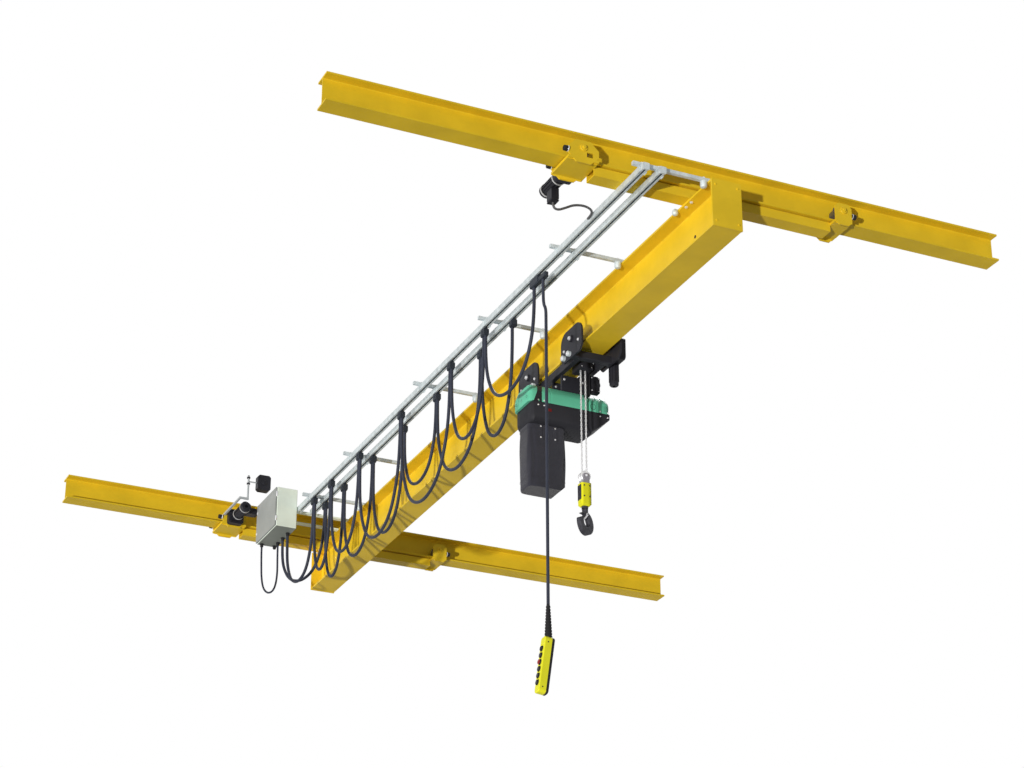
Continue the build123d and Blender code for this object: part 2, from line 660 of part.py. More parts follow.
def hoist_section(z):
    """The hoist's section across its length, with rounded long edges, cut to a span of heights."""
    shape = Pos((HOIST_Y[0] + HOIST_Y[1]) / 2, HOIST_SPLIT_Z) * RectangleRounded(
        HOIST_Y[1] - HOIST_Y[0], HOIST_Z[1] - HOIST_Z[0], HOIST_ROUND)
    span = Pos((HOIST_Y[0] + HOIST_Y[1]) / 2, (z[0] + z[1]) / 2) * Rectangle(
        HOIST_Y[1] - HOIST_Y[0], z[1] - z[0])
    return shape & span


def hoist_shell(x, z):
    """A stretch of the hoist's housing along X."""
    plane = Plane(origin=(x[0], 0, 0), x_dir=(0, 1, 0), z_dir=(1, 0, 0))
    return extrude(plane * hoist_section(z), x[1] - x[0])


def lower_housing():
    """The black lower half: it closes the green shell from below and is cut off at its right end."""
    right = HOIST_X[1] - HOIST_FOOT_CUT
    body = hoist_shell((HOIST_X[0] + HOIST_LEFT_LIP, HOIST_X[1]), (HOIST_Z[0], HOIST_SPLIT_Z))
    corner = Plane.XZ * make_face(Polyline(
        (right, HOIST_Z[0] - 1),
        (HOIST_X[1] + 1, HOIST_Z[0] - 1),
        (HOIST_X[1] + 1, HOIST_SPLIT_Z - HOIST_FOOT_STEP),
        close=True,
    ))
    wedge = extrude(corner, -HOIST_Y[1] - 1)
    body = body - wedge
    band_x = (HOIST_INNER_X[0] - HOIST_BAND, HOIST_INNER_X[0])
    return body + hoist_shell(band_x, (HOIST_SPLIT_Z, HOIST_Z[1]))


def hoist():
    save("hoist_lower_housing", lower_housing())
    save("hoist_upper_housing", hoist_shell(HOIST_INNER_X, (HOIST_SPLIT_Z, HOIST_Z[1])))
    left = hoist_shell((HOIST_X[0], HOIST_INNER_X[0] - HOIST_BAND), (HOIST_SPLIT_Z, HOIST_Z[1]))
    left = fillet(left.faces().sort_by(Axis.X)[0].edges(), HOIST_END_ROUND)
    right = hoist_shell((HOIST_INNER_X[1], HOIST_X[1]), (HOIST_SPLIT_Z, HOIST_Z[1]))
    right = chamfer(right.faces().sort_by(Axis.X)[-1].edges().sort_by(Axis.Z)[-1], HOIST_END_ROUND)
    save("hoist_end_covers", left, right)
    top = HOIST_Z[1]
    plates = []
    across = (-HANGER_WIDTH / 2, HANGER_WIDTH / 2)
    for y in (HOIST_Y[0] + HANGER_INSET, HOIST_Y[1] - HANGER_INSET):
        plates.append(block(across, (y - HANGER_PLATE, y + HANGER_PLATE), (top, TROLLEY_PLATE_BOTTOM)))
    ends = (HOIST_Y[0] + HANGER_INSET - HANGER_PLATE, HOIST_Y[1] - HANGER_INSET + HANGER_PLATE)
    deck = block(across, ends, (top, top + HANGER_PLATE))
    save("hoist_hanger", joined(plates + [deck]))
    save("chain_bag", chain_bag())
    save("chain_guide", chain_guide())


def chain_bag():
    """The closed outer form of the chain bag, with its lower right corner cut off."""
    bag = block(CHAIN_BAG_X, CHAIN_BAG_Y, CHAIN_BAG_Z)
    low = bag.edges().filter_by(Axis.Y).sort_by(Axis.Z)[:2].sort_by(Axis.X)[-1]
    bag = chamfer(low, CHAIN_BAG_CUT)
    return fillet(bag.edges().filter_by(Axis.Z), CHAIN_BAG_ROUND)


def chain_guide():
    """The chain wheel's housing on the hoist's near side, with a guide below it for both falls."""
    y = (CHAIN_Y - GUIDE_DEPTH / 2, HOIST_Y[0])
    housing = block(GUIDE_X, y, (CHAIN_FALL_TOP, GUIDE_TOP))
    housing = fillet(housing.edges().filter_by(Axis.Y).sort_by(Axis.Z)[-2:], GUIDE_ROUND)
    back = block(GUIDE_BACK_X, (HOIST_Y[0] - 40, HOIST_Y[0]), (GUIDE_BACK_Z, TROLLEY_PLATE_BOTTOM - SOFT_GAP))
    back = chamfer(back.edges().filter_by(Axis.Y).sort_by(Axis.Z)[0], 30)
    return housing + back


HOOK_EYE_Z = HOOK_BLOCK_TOP - SHEAVE_RADIUS
GRIP_TOP = HOOK_EYE_Z - GRIP_DROP
GRIP_BOTTOM = GRIP_TOP - GRIP_HEIGHT
HOOK_TOP = GRIP_BOTTOM - SOFT_GAP
BOWL_Z = HOOK_TOP - HOOK_SHANK - HOOK_BOWL


def hook_profile():
    """The hook from the side: a shank, a round bowl that thickens below, and a point at the left."""
    inner = HOOK_BOWL - HOOK_THICK / 2
    outer = HOOK_BOWL + HOOK_THICK / 2
    bowl = Circle(outer) + Pos(2, -5) * Circle(outer)
    bowl = bowl - Pos(-1, 3) * Circle(inner)
    throat = Pos(-outer, inner * 0.95) * Rectangle(2 * outer - 6, inner * 1.5)
    bowl = bowl - throat
    tip = Pos(-HOOK_BOWL - 3, inner * 0.18) * Circle(HOOK_THICK * 0.44)
    top = HOOK_SHANK + HOOK_BOWL
    back = make_face(Polyline(
        (-9, top),
        (9, top),
        (14, inner + 14),
        (outer - 1, 4),
        (inner + 1, 0),
        (inner * 0.6, inner * 0.8 + 3),
        (-9, inner + 12),
        close=True,
    ))
    return bowl + tip + back


def hook_set():
    falls = [
        rod(CHAIN_FALL, (x, CHAIN_Y, HOOK_BLOCK_TOP), (x, CHAIN_Y, CHAIN_FALL_TOP - SOFT_GAP))
        for x in (-CHAIN_PITCH_X, CHAIN_PITCH_X)
    ]
    save("chain_falls", *falls)
    wheel_disc = rod(SHEAVE_RADIUS, (0, CHAIN_Y - SHEAVE_WIDTH / 2, HOOK_EYE_Z), (0, CHAIN_Y + SHEAVE_WIDTH / 2, HOOK_EYE_Z))
    wheel_disc = fillet(wheel_disc.edges().filter_by(GeomType.CIRCLE), 5)
    save("hook_sheave", wheel_disc - rod(AXLE_RADIUS / 2, (0, CHAIN_Y - 40, HOOK_EYE_Z), (0, CHAIN_Y + 40, HOOK_EYE_Z)))
    save("hook_block", hook_block())
    plane = Plane(origin=(0, CHAIN_Y, BOWL_Z), x_dir=(1, 0, 0), z_dir=(0, -1, 0))
    solid = extrude(plane * hook_profile(), HOOK_WIDTH / 2, both=True)
    solid = solid + rod(LATCH_PIN, latch_pin_point(-1), latch_pin_point(1))
    solid = solid + rod(HOOK_COLLAR[0], (0, CHAIN_Y, HOOK_TOP - HOOK_COLLAR[1]), (0, CHAIN_Y, HOOK_TOP))
    save("hook", turned(solid))
    save("hook_latch", turned(hook_latch()))


def turned(shape):
    """The hook hangs turned about its shank."""
    middle = Pos(0, CHAIN_Y, 0)
    return middle * Rot(0, 0, HOOK_TURN) * middle.inverse() * shape


def latch_pin_point(hand):
    return (LATCH_X, CHAIN_Y + hand * (HOOK_WIDTH / 2 + 5), BOWL_Z + LATCH_Z)


def hook_latch():
    """A sheet latch that closes the throat from inside, with two ears on its pin."""
    low = Vector(LATCH_TIP[0], 0, LATCH_TIP[1])
    high = Vector(LATCH_X, 0, LATCH_Z)
    along = high - low
    ears = []
    for hand in (-1, 1):
        near = CHAIN_Y + hand * (HOOK_WIDTH / 2 + SOFT_GAP)
        far = near + hand * 3
        ear = rod(LATCH_PIN + 4, (LATCH_X, near, BOWL_Z + LATCH_Z), (LATCH_X, far, BOWL_Z + LATCH_Z))
        side = make_face(Polyline(
            (LATCH_X - 6, LATCH_Z - 3),
            (LATCH_X + 6, LATCH_Z - 3),
            (LATCH_TIP[0] + 5, LATCH_TIP[1]),
            (LATCH_TIP[0] - 5, LATCH_TIP[1]),
            close=True,
        ))
        plane = Plane(origin=(0, min(near, far), BOWL_Z), x_dir=(1, 0, 0), z_dir=(0, -1, 0))
        ears.append(ear + extrude(plane * side, -3))
    tongue = make_face(Polyline(
        (LATCH_TIP[0] - 5, LATCH_TIP[1]),
        (LATCH_TIP[0] + 5, LATCH_TIP[1]),
        (LATCH_TIP[0] + 5 + along.X * 0.25, LATCH_TIP[1] + along.Z * 0.25),
        (LATCH_TIP[0] - 5 + along.X * 0.25, LATCH_TIP[1] + along.Z * 0.25),
        close=True,
    ))
    plane = Plane(origin=(0, CHAIN_Y, BOWL_Z), x_dir=(1, 0, 0), z_dir=(0, -1, 0))
    bridge = extrude(plane * tongue, HOOK_WIDTH / 2 + SOFT_GAP + 3, both=True)
    bore = rod(LATCH_PIN + AXLE_CLEARANCE, latch_pin_point(-2), latch_pin_point(2))
    return joined(ears + [bridge]) - bore


def hook_block():
    """The rounded grip below the sheave, with two cheeks that hold the sheave's pin."""
    grip = block((-GRIP_HALF[0], GRIP_HALF[0]), (CHAIN_Y - GRIP_HALF[1], CHAIN_Y + GRIP_HALF[1]), (GRIP_BOTTOM, GRIP_TOP))
    grip = fillet(grip.edges().filter_by(Axis.Z), 12)
    grip = chamfer(grip.faces().sort_by(Axis.Z)[0].edges(), GRIP_TAPER)
    shapes = [grip]
    for hand in (-1, 1):
        inside = CHAIN_Y + hand * (SHEAVE_WIDTH / 2 + SHEAVE_GAP)
        outside = inside + hand * 6
        cheek = block((-17, 17), sorted((inside, outside)), (GRIP_TOP - 2, HOOK_EYE_Z + 12))
        shapes.append(fillet(cheek.edges().filter_by(Axis.Y).sort_by(Axis.Z)[-2:], 10))
    pin = rod(AXLE_RADIUS / 2 - AXLE_CLEARANCE, (0, CHAIN_Y - SHEAVE_WIDTH / 2 - 8, HOOK_EYE_Z), (0, CHAIN_Y + SHEAVE_WIDTH / 2 + 8, HOOK_EYE_Z))
    return joined(shapes + [pin])


PENDANT_X = RAIL_X[0]
BODY_TOP = PENDANT_TOP - SLEEVE_LENGTH


def on_pendant(shape):
    """Place a shape made about the station's top centre, tilted as the station hangs."""
    return Pos(PENDANT_X, PENDANT_Y, BODY_TOP) * Rot(0, PENDANT_TILT, 0) * shape


def pendant_case():
    """The push-button case: a long rounded box, its back third set off by a step."""
    width, depth, height = PENDANT_SIZE
    front = Pos(-PENDANT_BACK / 2, 0, -height / 2) * Box(width - PENDANT_BACK, depth, height)
    front = fillet(front.edges().filter_by(Axis.X), PENDANT_CORNER)
    front = fillet(front.faces().sort_by(Axis.X)[0].edges(), 5)
    return on_pendant(front)


def pendant_back():
    """The dark back shell, with a bumper round the lower end."""
    width, depth, height = PENDANT_SIZE
    back = Pos(width / 2 - PENDANT_BACK / 2, 0, -height / 2) * Box(PENDANT_BACK, depth, height)
    back = fillet(back.edges().filter_by(Axis.X), PENDANT_CORNER)
    back = fillet(back.faces().sort_by(Axis.X)[-1].edges(), 5)
    return on_pendant(back)


def pendant():
    tow = carrier(RAIL_X[0], TOW_Y, 2 * CARRIER_LENGTH)
    top = SADDLE_BOTTOM
    cable = rod(PENDANT_CABLE_DIAMETER / 2, (PENDANT_X, PENDANT_Y, PENDANT_TOP), (PENDANT_X, PENDANT_Y, top))
    save("pendant_cable", cable)
    tow_arm = block((PENDANT_X - 12, PENDANT_X + 12), (PENDANT_Y - 14, TOW_Y - CARRIER_LENGTH), (top, top + TOW_ARM))
    tow_arm = fillet(tow_arm.edges().filter_by(Axis.Z).sort_by(Axis.Y)[:2], 10)
    save("tow_trolley", tow + tow_arm - cable)
    foot = Plane(origin=(PENDANT_X, PENDANT_Y, BODY_TOP), z_dir=(0, 0, 1))
    neck = Plane(origin=(PENDANT_X, PENDANT_Y, PENDANT_TOP), z_dir=(0, 0, 1))
    sleeve = loft([foot * Circle(SLEEVE_RADII[0]), neck * Circle(SLEEVE_RADII[1])])
    save("pendant_sleeve", sleeve)
    save("pendant_body", pendant_case() - under_sleeve())
    save("pendant_back", pendant_back() - under_sleeve())
    keys = []
    width, depth, height = PENDANT_SIZE
    for row in range(PENDANT_KEYS):
        z = -KEY_FIRST - row * KEY_STEP
        key = rod(KEY_RADIUS, (-width / 2, 0, z), (-width / 2 - KEY_HEIGHT, 0, z))
        rim = key.edges().filter_by(GeomType.CIRCLE).sort_by(Axis.X)[0]
        keys.append(on_pendant(fillet(rim, 2)))
    save("pendant_keys", *keys)


def under_sleeve():
    """What lies above the level of the sleeve's foot."""
    width = 2 * PENDANT_SIZE[2]
    return Pos(PENDANT_X, PENDANT_Y, BODY_TOP + width / 2) * Box(width, width, width)


# The cable's shape in one festoon bay: shares of the bay's width and of its depth. The last bay of
# each line ends in a gland of the cabinet.
BAY_SHAPE = [(0, 0), (0, 0.3), (0.06, 0.62), (0.22, 0.9), (0.5, 1.0), (0.78, 0.9), (0.94, 0.62), (1, 0.3), (1, 0)]
CONTROL_BAY_BOTTOMS = (-745, -785, -925, -890, -785, -770, -739)
SUPPLY_BAY_BOTTOMS = (-830, -815, -690, -815, -790, -790, -702)
GLAND_END = CABINET_Z[0] - GLAND_NUT - GLAND_DOME - SOFT_GAP


def bay_points(start, end, bottom):
    """Points of a cable bay that hangs between two ends."""
    points = []
    for share, depth in BAY_SHAPE:
        level = start[2] + share * (end[2] - start[2])
        points.append((
            start[0] + share * (end[0] - start[0]),
            start[1] + share * (end[1] - start[1]),
            level + depth * (bottom - level),
        ))
    return points


def corner_radii(points):
    """Each arc as large as its two runs allow."""
    radii = []
    for before, here, after in zip(points, points[1:], points[2:]):
        first = Vector(*here) - Vector(*before)
        second = Vector(*after) - Vector(*here)
        turn = math.radians(first.get_angle(second))
        run = min(first.length, second.length)
        radii.append(0.45 * run / math.tan(turn / 2))
    return radii


def cord_tube(points, diameter):
    """A tube of straight runs joined by tangent arcs."""
    radii = corner_radii(points)
    print("cord radii", [round(r) for r in radii])
    path = FilletPolyline(*points, radius=radii)
    start = Plane(origin=points[0], z_dir=Vector(*points[1]) - Vector(*points[0]))
    return sweep(start * Circle(diameter / 2), path=path)


def festoon_cables():
    for name, x, towed, stations, bottoms, gland in (
        ("cables_control", RAIL_X[0], TOW_Y, CONTROL_CARRIER_Y, CONTROL_BAY_BOTTOMS, GLAND_PLACES[1]),
        ("cables_supply", RAIL_X[1], HOIST_Y[0] + 60, SUPPLY_CARRIER_Y, SUPPLY_BAY_BOTTOMS, GLAND_PLACES[2]),
    ):
        gap = CARRIER_LENGTH / 4
        starts = [(x, y + gap, SADDLE_BOTTOM) for y in (towed + gap,) + stations]
        ends = [(x, y - gap, SADDLE_BOTTOM) for y in stations] + [(*gland, GLAND_END)]
        tubes = [
            cord_tube(bay_points(a, b, bottom), CABLE_DIAMETER)
            for a, b, bottom in zip(starts, ends, bottoms)
        ]
        save(name, *tubes)


# Cables that don't move on the bridge: from the near drive to the left rail, and a loop below the cabinet
DRIVE_CABLE = [
    (-672, 240, -226.5), (-672, 240, -250), (-648, 243, -262), (-600, 246, -236), (-560, 244, -212),
    (-505, 240, -204), (-464, 244, -214), (-447, 270, -222), (-445.5, 320, -222),
]
LOOP_CABLE = [
    (-556, 4681.2, -384.5), (-556, 4681, -440), (-560, 4640, -650), (-550, 4560, -735), (-515, 4530, -720),
    (-476, 4590, -600), (-472, 4617.5, -440), (-472, 4617.5, -384.5),
]


def fixed_cables():
    drive = cord_tube(DRIVE_CABLE, CONTROL_CABLE_DIAMETER)
    loop = cord_tube(LOOP_CABLE, CONTROL_CABLE_DIAMETER)
    save("cables_fixed", drive, loop)


os.makedirs("parts", exist_ok=True)
runways()
girder()
carriages()
limit_switch()
festoon_frame()
carriers()
cabinet()
hoist_trolley()
hoist()
hook_set()
pendant()
festoon_cables()
fixed_cables()
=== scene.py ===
import bpy
import bmesh
import json
import math
from mathutils import Matrix, Vector


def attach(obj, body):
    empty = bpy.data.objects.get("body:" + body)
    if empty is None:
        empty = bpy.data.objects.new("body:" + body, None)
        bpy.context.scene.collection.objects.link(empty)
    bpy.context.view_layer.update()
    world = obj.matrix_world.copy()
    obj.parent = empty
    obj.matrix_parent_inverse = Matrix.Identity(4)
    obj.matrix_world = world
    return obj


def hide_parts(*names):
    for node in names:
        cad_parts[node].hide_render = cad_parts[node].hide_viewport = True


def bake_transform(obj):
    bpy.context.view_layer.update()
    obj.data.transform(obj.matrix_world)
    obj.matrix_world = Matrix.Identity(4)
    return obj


# Dresses the underslung crane: metres, +X along the runways, +Y along the girder, +Z up.

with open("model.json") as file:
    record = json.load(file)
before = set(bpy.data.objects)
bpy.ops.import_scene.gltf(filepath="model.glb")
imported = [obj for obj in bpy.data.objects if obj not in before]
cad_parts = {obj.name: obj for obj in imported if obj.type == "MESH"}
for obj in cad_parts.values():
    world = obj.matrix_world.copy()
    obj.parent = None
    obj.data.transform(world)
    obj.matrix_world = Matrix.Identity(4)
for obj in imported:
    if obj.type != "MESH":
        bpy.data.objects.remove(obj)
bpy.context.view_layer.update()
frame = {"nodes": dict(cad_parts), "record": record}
NODES = frame["nodes"]

# The photograph's viewpoint: about six metres below the runways, looking up along the girder
CAMERA_PLACE = (-5.159, -8.949, -6.047)
CAMERA_RIGHT = (0.90701, -0.42111, -0.00071)
CAMERA_DOWN = (0.18013, 0.38949, -0.90324)
CAMERA_LENS_MM = 86.1
SENSOR_MM = 36.0
CLIP_END = 200

# The studio
WHITE = (1, 1, 1, 1)
FLOOR_Z = -7.6
FLOOR_SIZE = 400
FLOOR_GREY = (0.88, 0.88, 0.88, 1)
FLOOR_GLOW = 0.22
AMBIENT = 0.20

# Directions and signs
LEFT, RIGHT = (-1, 0, 0), (1, 0, 0)
FRONT, BACK = (0, -1, 0), (0, 1, 0)
DOWN, UP = (0, 0, -1), (0, 0, 1)
SIDES = (-1, 1)

# Sizes that the CAD also uses
RAIL_X = (-0.424, -0.335)
SADDLE_BOTTOM = -0.286
CARRIER_GRIP = 0.0115
FESTOON_DIAMETER = 0.018
DRIVE_CABLE_DIAMETER = 0.012
PENDANT_CABLE_DIAMETER = 0.016
GIRDER_TOP = -0.206
GIRDER_BOTTOM = -0.458
CHAIN_Y = 1.280
CHAIN_X = 0.013
CHAIN_TOP = -0.5303
CHAIN_BOTTOM = -1.101
BLOCK_PAINT_TOP = -1.172
SWITCH_HEAD_EDGE = -0.637


def add_object(name, data):
    thing = bpy.data.objects.new(name, data)
    bpy.context.scene.collection.objects.link(thing)
    return thing


def make_camera():
    data = bpy.data.cameras.new("camera")
    data.sensor_fit = "HORIZONTAL"
    data.sensor_width = SENSOR_MM
    data.lens = CAMERA_LENS_MM
    data.clip_end = CLIP_END
    camera = add_object("camera", data)
    right = Vector(CAMERA_RIGHT).normalized()
    up = -Vector(CAMERA_DOWN).normalized()
    back = right.cross(up)
    turn = Matrix((right, up, back)).transposed()
    camera.matrix_world = Matrix.Translation(CAMERA_PLACE) @ turn.to_4x4()
    bpy.context.scene.camera = camera


def add_light(name, energy, colour, direction, size):
    """A sun that shines along a direction."""
    data = bpy.data.lights.new(name, "SUN")
    data.energy = energy
    data.color = colour
    data.angle = size
    lamp = add_object(name, data)
    lamp.rotation_mode = "QUATERNION"
    lamp.rotation_quaternion = Vector(direction).to_track_quat("-Z", "Y")


def set_inputs(node, **values):
    """Sets a shader node's inputs; an underscore in a name stands for a space."""
    for name, value in values.items():
        node.inputs[name.replace("_", " ")].default_value = value


def add_node(tree, kind, **values):
    """A new shader node with some of its inputs set."""
    node = tree.nodes.new(f"ShaderNode{kind}")
    set_inputs(node, **values)
    return node


def wire(start, way_out, end, way_in):
    """Joins one shader node's output to another's input."""
    start.id_data.links.new(start.outputs[way_out], end.inputs[way_in])


def seen_by_eye(tree):
    """One for rays from the camera, and for those that metal or glass turns; none for the rest."""
    path = add_node(tree, "LightPath")
    first = add_node(tree, "Math")
    second = add_node(tree, "Math")
    second.use_clamp = True
    wire(path, "Is Camera Ray", first, 0)
    wire(path, "Is Glossy Ray", first, 1)
    wire(first, 0, second, 0)
    wire(path, "Is Transmission Ray", second, 1)
    return second


def make_world():
    """White behind the object, and a plain even light on it."""
    world = bpy.data.worlds.new("studio")
    bpy.context.scene.world = world
    world.use_nodes = True
    tree = world.node_tree
    tree.nodes.clear()
    out = add_node(tree, "OutputWorld")
    mix = add_node(tree, "MixShader")
    lit = add_node(tree, "Background", Color=WHITE, Strength=AMBIENT)
    seen = add_node(tree, "Background", Color=WHITE, Strength=1.0)
    wire(seen_by_eye(tree), 0, mix, 0)
    wire(lit, 0, mix, 1)
    wire(seen, 0, mix, 2)
    wire(mix, 0, out, 0)
    bpy.context.scene.view_settings.view_transform = "Standard"


def make_floor():
    """A pale floor under the crane; the light from below passes it, and from beneath it isn't seen."""
    mesh = bpy.data.meshes.new("floor")
    half = FLOOR_SIZE / 2
    points = [(-half, -half, FLOOR_Z), (half, -half, FLOOR_Z), (half, half, FLOOR_Z), (-half, half, FLOOR_Z)]
    mesh.from_pydata(points, [], [(0, 1, 2, 3)])
    floor = add_object("floor", mesh)
    material = bpy.data.materials.new("floor_white")
    material.use_nodes = True
    tree = material.node_tree
    pale = tree.nodes["Principled BSDF"]
    set_inputs(pale, Base_Color=FLOOR_GREY, Roughness=0.9, Emission_Color=WHITE, Emission_Strength=FLOOR_GLOW)
    dim = add_node(tree, "Emission", Strength=AMBIENT)
    clear = add_node(tree, "BsdfTransparent")
    side = add_node(tree, "NewGeometry")
    seen = add_node(tree, "MixShader")
    faced = add_node(tree, "MixShader")
    wire(seen_by_eye(tree), 0, seen, 0)
    wire(dim, 0, seen, 1)
    wire(pale, 0, seen, 2)
    wire(side, "Backfacing", faced, 0)
    wire(seen, 0, faced, 1)
    wire(clear, 0, faced, 2)
    wire(faced, 0, tree.nodes["Material Output"], "Surface")
    mesh.materials.append(material)
    floor.visible_shadow = False


# Materials

DRIFT_RANGE = (0.35, 0.65)
STREAK_RANGE = (0.52, 0.78)
STREAK_STRETCH = (0.25, 0.25, 1.0)
GRAIN_DEPTH = 0.002
WEAVE_DEPTH = 0.001
SPECULAR = 0.15
MATERIALS = {}


def paint(name, colour, roughness=0.45, metallic=0.0, spread=0.06, scale=6.0, bump=0.05, bump_scale=220.0,
          grime=0.0):
    """Paint, plastic or metal: slow colour drift, fine grain, and grime in streaks where it is asked for."""
    material = bpy.data.materials.new(name)
    material.use_nodes = True
    tree = material.node_tree
    shader = tree.nodes["Principled BSDF"]
    place = add_node(tree, "TexCoord")
    drift = add_node(tree, "TexNoise", Scale=scale, Detail=5)
    ramp = add_node(tree, "ValToRGB")
    for stop, position, shade in zip(ramp.color_ramp.elements, DRIFT_RANGE, (1 - spread, 1 + spread)):
        stop.position = position
        stop.color = (*[min(1, c * shade) for c in colour], 1)
    wire(place, "Object", drift, "Vector")
    wire(drift, "Fac", ramp, "Fac")
    streaks = add_node(tree, "TexNoise", Scale=14.0, Detail=8, Roughness=0.7)
    stretch = add_node(tree, "Mapping", Scale=STREAK_STRETCH)
    wire(place, "Object", stretch, "Vector")
    wire(stretch, "Vector", streaks, "Vector")
    where = add_node(tree, "MapRange", From_Min=STREAK_RANGE[0], From_Max=STREAK_RANGE[1], To_Max=grime)
    wire(streaks, "Fac", where, "Value")
    soiled = add_node(tree, "Mix")
    soiled.data_type = "RGBA"
    soiled.inputs[7].default_value = (*[c * 0.45 + 0.02 for c in colour], 1)
    wire(where, "Result", soiled, 0)
    wire(ramp, "Color", soiled, 6)
    wire(soiled, 2, shader, "Base Color")
    rough = add_node(tree, "MapRange", To_Min=max(0.05, roughness - 0.08), To_Max=min(1.0, roughness + 0.12))
    wire(streaks, "Fac", rough, "Value")
    wire(rough, "Result", shader, "Roughness")
    grain = add_node(tree, "TexNoise", Scale=bump_scale, Detail=3)
    relief = add_node(tree, "Bump", Strength=bump, Distance=GRAIN_DEPTH)
    wire(place, "Object", grain, "Vector")
    wire(grain, "Fac", relief, "Height")
    wire(relief, "Normal", shader, "Normal")
    set_inputs(shader, Metallic=metallic, Specular_IOR_Level=SPECULAR)
    MATERIALS[name] = material
    return material


def cloth(name, colour, weave_scale):
    """Coated cloth with a fine crossed weave."""
    material = paint(name, colour, 0.75, 0.0, 0.12, 9.0, 0.0)
    tree = material.node_tree
    shader = tree.nodes["Principled BSDF"]
    place = add_node(tree, "TexCoord")
    total = add_node(tree, "Math")
    for number, direction in enumerate("ZX"):
        wave = add_node(tree, "TexWave", Scale=weave_scale, Distortion=0.6)
        wave.bands_direction = direction
        wire(place, "Object", wave, "Vector")
        wire(wave, "Fac", total, number)
    relief = add_node(tree, "Bump", Strength=0.35, Distance=WEAVE_DEPTH)
    wire(total, 0, relief, "Height")
    wire(relief, "Normal", shader, "Normal")
    set_inputs(shader, Sheen_Weight=0.3)


paint("runway_paint", (0.77, 0.53, 0.020), 0.45, grime=0.16)
paint("crane_paint", (0.79, 0.54, 0.022), 0.42, grime=0.12)
paint("rubber", (0.02, 0.02, 0.022), 0.7, bump=0.12)
paint("drive_black", (0.020, 0.020, 0.026), 0.42, spread=0.2, grime=0.3)
paint("switch_black", (0.020, 0.020, 0.026), 0.42, spread=0.2, grime=0.3)
paint("drive_ring", (0.62, 0.62, 0.62), 0.35, 0.5)
paint("rail_zinc", (0.62, 0.68, 0.70), 0.5, 0.25, 0.12, 30.0)
paint("cabinet_paint", (0.80, 0.88, 0.78), 0.5, bump=0.15, bump_scale=420.0, grime=0.08)
# Painted shade: the door on the cabinet's left face is a darker grey than the cabinet, standing in for shade
# on that face.
paint("door_painted_shade", (0.36, 0.38, 0.37), 0.5, bump=0.15, bump_scale=420.0, grime=0.1)
paint("base_paint", (0.24, 0.26, 0.23), 0.5, bump=0.15, bump_scale=420.0, grime=0.1)
paint("thin_sheath", (0.11, 0.11, 0.115), 0.5, spread=0.15)
paint("cable_sheath", (0.035, 0.04, 0.06), 0.5, spread=0.15)
paint("wheel_steel", (0.2, 0.2, 0.2), 0.4, 0.8, grime=0.4)
paint("trolley_black", (0.025, 0.025, 0.032), 0.45, spread=0.2, grime=0.3)
paint("hoist_black", (0.022, 0.022, 0.027), 0.5, bump=0.1)
paint("hoist_green", (0.14, 0.58, 0.38), 0.36, spread=0.05, grime=0.1)
cloth("bag_cloth", (0.030, 0.030, 0.042), 160.0)
paint("chain_steel", (0.78, 0.78, 0.80), 0.32, 0.55, 0.12, 40.0)
paint("block_yellow", (0.80, 0.78, 0.02), 0.4, grime=0.25)
paint("hook_steel", (0.05, 0.05, 0.06), 0.45, 0.3, 0.3, 60.0, 0.25, 90.0)
paint("carrier_plastic", (0.028, 0.034, 0.045), 0.5, bump=0.12)
paint("pendant_yellow", (0.84, 0.82, 0.03), 0.4, grime=0.08)


def bare_beyond(material, axis, side, level, colour):
    """Bare metal on one side of a level along an axis, paint on the other."""
    tree = material.node_tree
    shader = tree.nodes["Principled BSDF"]
    painted = shader.inputs["Base Color"].links[0].from_socket
    place = add_node(tree, "TexCoord")
    split = add_node(tree, "SeparateXYZ")
    beyond = add_node(tree, "Math")
    beyond.operation = side
    beyond.inputs[1].default_value = level
    mix = add_node(tree, "Mix")
    mix.data_type = "RGBA"
    mix.inputs[7].default_value = (*colour, 1)
    wire(place, "Object", split, 0)
    wire(split, axis, beyond, 0)
    wire(beyond, 0, mix, 0)
    tree.links.new(painted, mix.inputs[6])
    wire(mix, 2, shader, "Base Color")


def dress_nodes():
    """Every CAD node gets the material of its slot."""
    for row in frame["record"]["subparts"]:
        node = NODES[row["node"]]
        node.data.materials.clear()
        node.data.materials.append(MATERIALS[row["material_slot"]])
    bare_beyond(MATERIALS["block_yellow"], "Z", "GREATER_THAN", BLOCK_PAINT_TOP, (0.30, 0.29, 0.33))
    bare_beyond(MATERIALS["switch_black"], "X", "LESS_THAN", SWITCH_HEAD_EDGE, (0.45, 0.48, 0.50))
    NODES["limit_switch"].data.materials[0] = MATERIALS["switch_black"]


# Mesh tools: each adds a shape to a bmesh

WELD_RIPPLE = 0.012
WELD_SWELL = 0.10
WELD_CROWN = 0.42
SHARP_ANGLE = math.radians(35)


def pairs(firsts, seconds):
    """Each of the first values with each of the second."""
    return [(first, second) for first in firsts for second in seconds]


def corners(across, along):
    """The corners of a rectangle about its middle, from its half sizes."""
    return pairs((-across, across), (-along, along))


def join_rings(bm, rings):
    """Faces between each ring and the next, which has as many points."""
    for first, second in zip(rings, rings[1:]):
        for number in range(len(first)):
            after = (number + 1) % len(first)
            bm.faces.new((first[number], first[after], second[after], second[number]))


def add_skin(bm, rings):
    """A solid through rings, with flat ends."""
    join_rings(bm, rings)
    bm.faces.new(rings[0])
    bm.faces.new(list(reversed(rings[-1])))


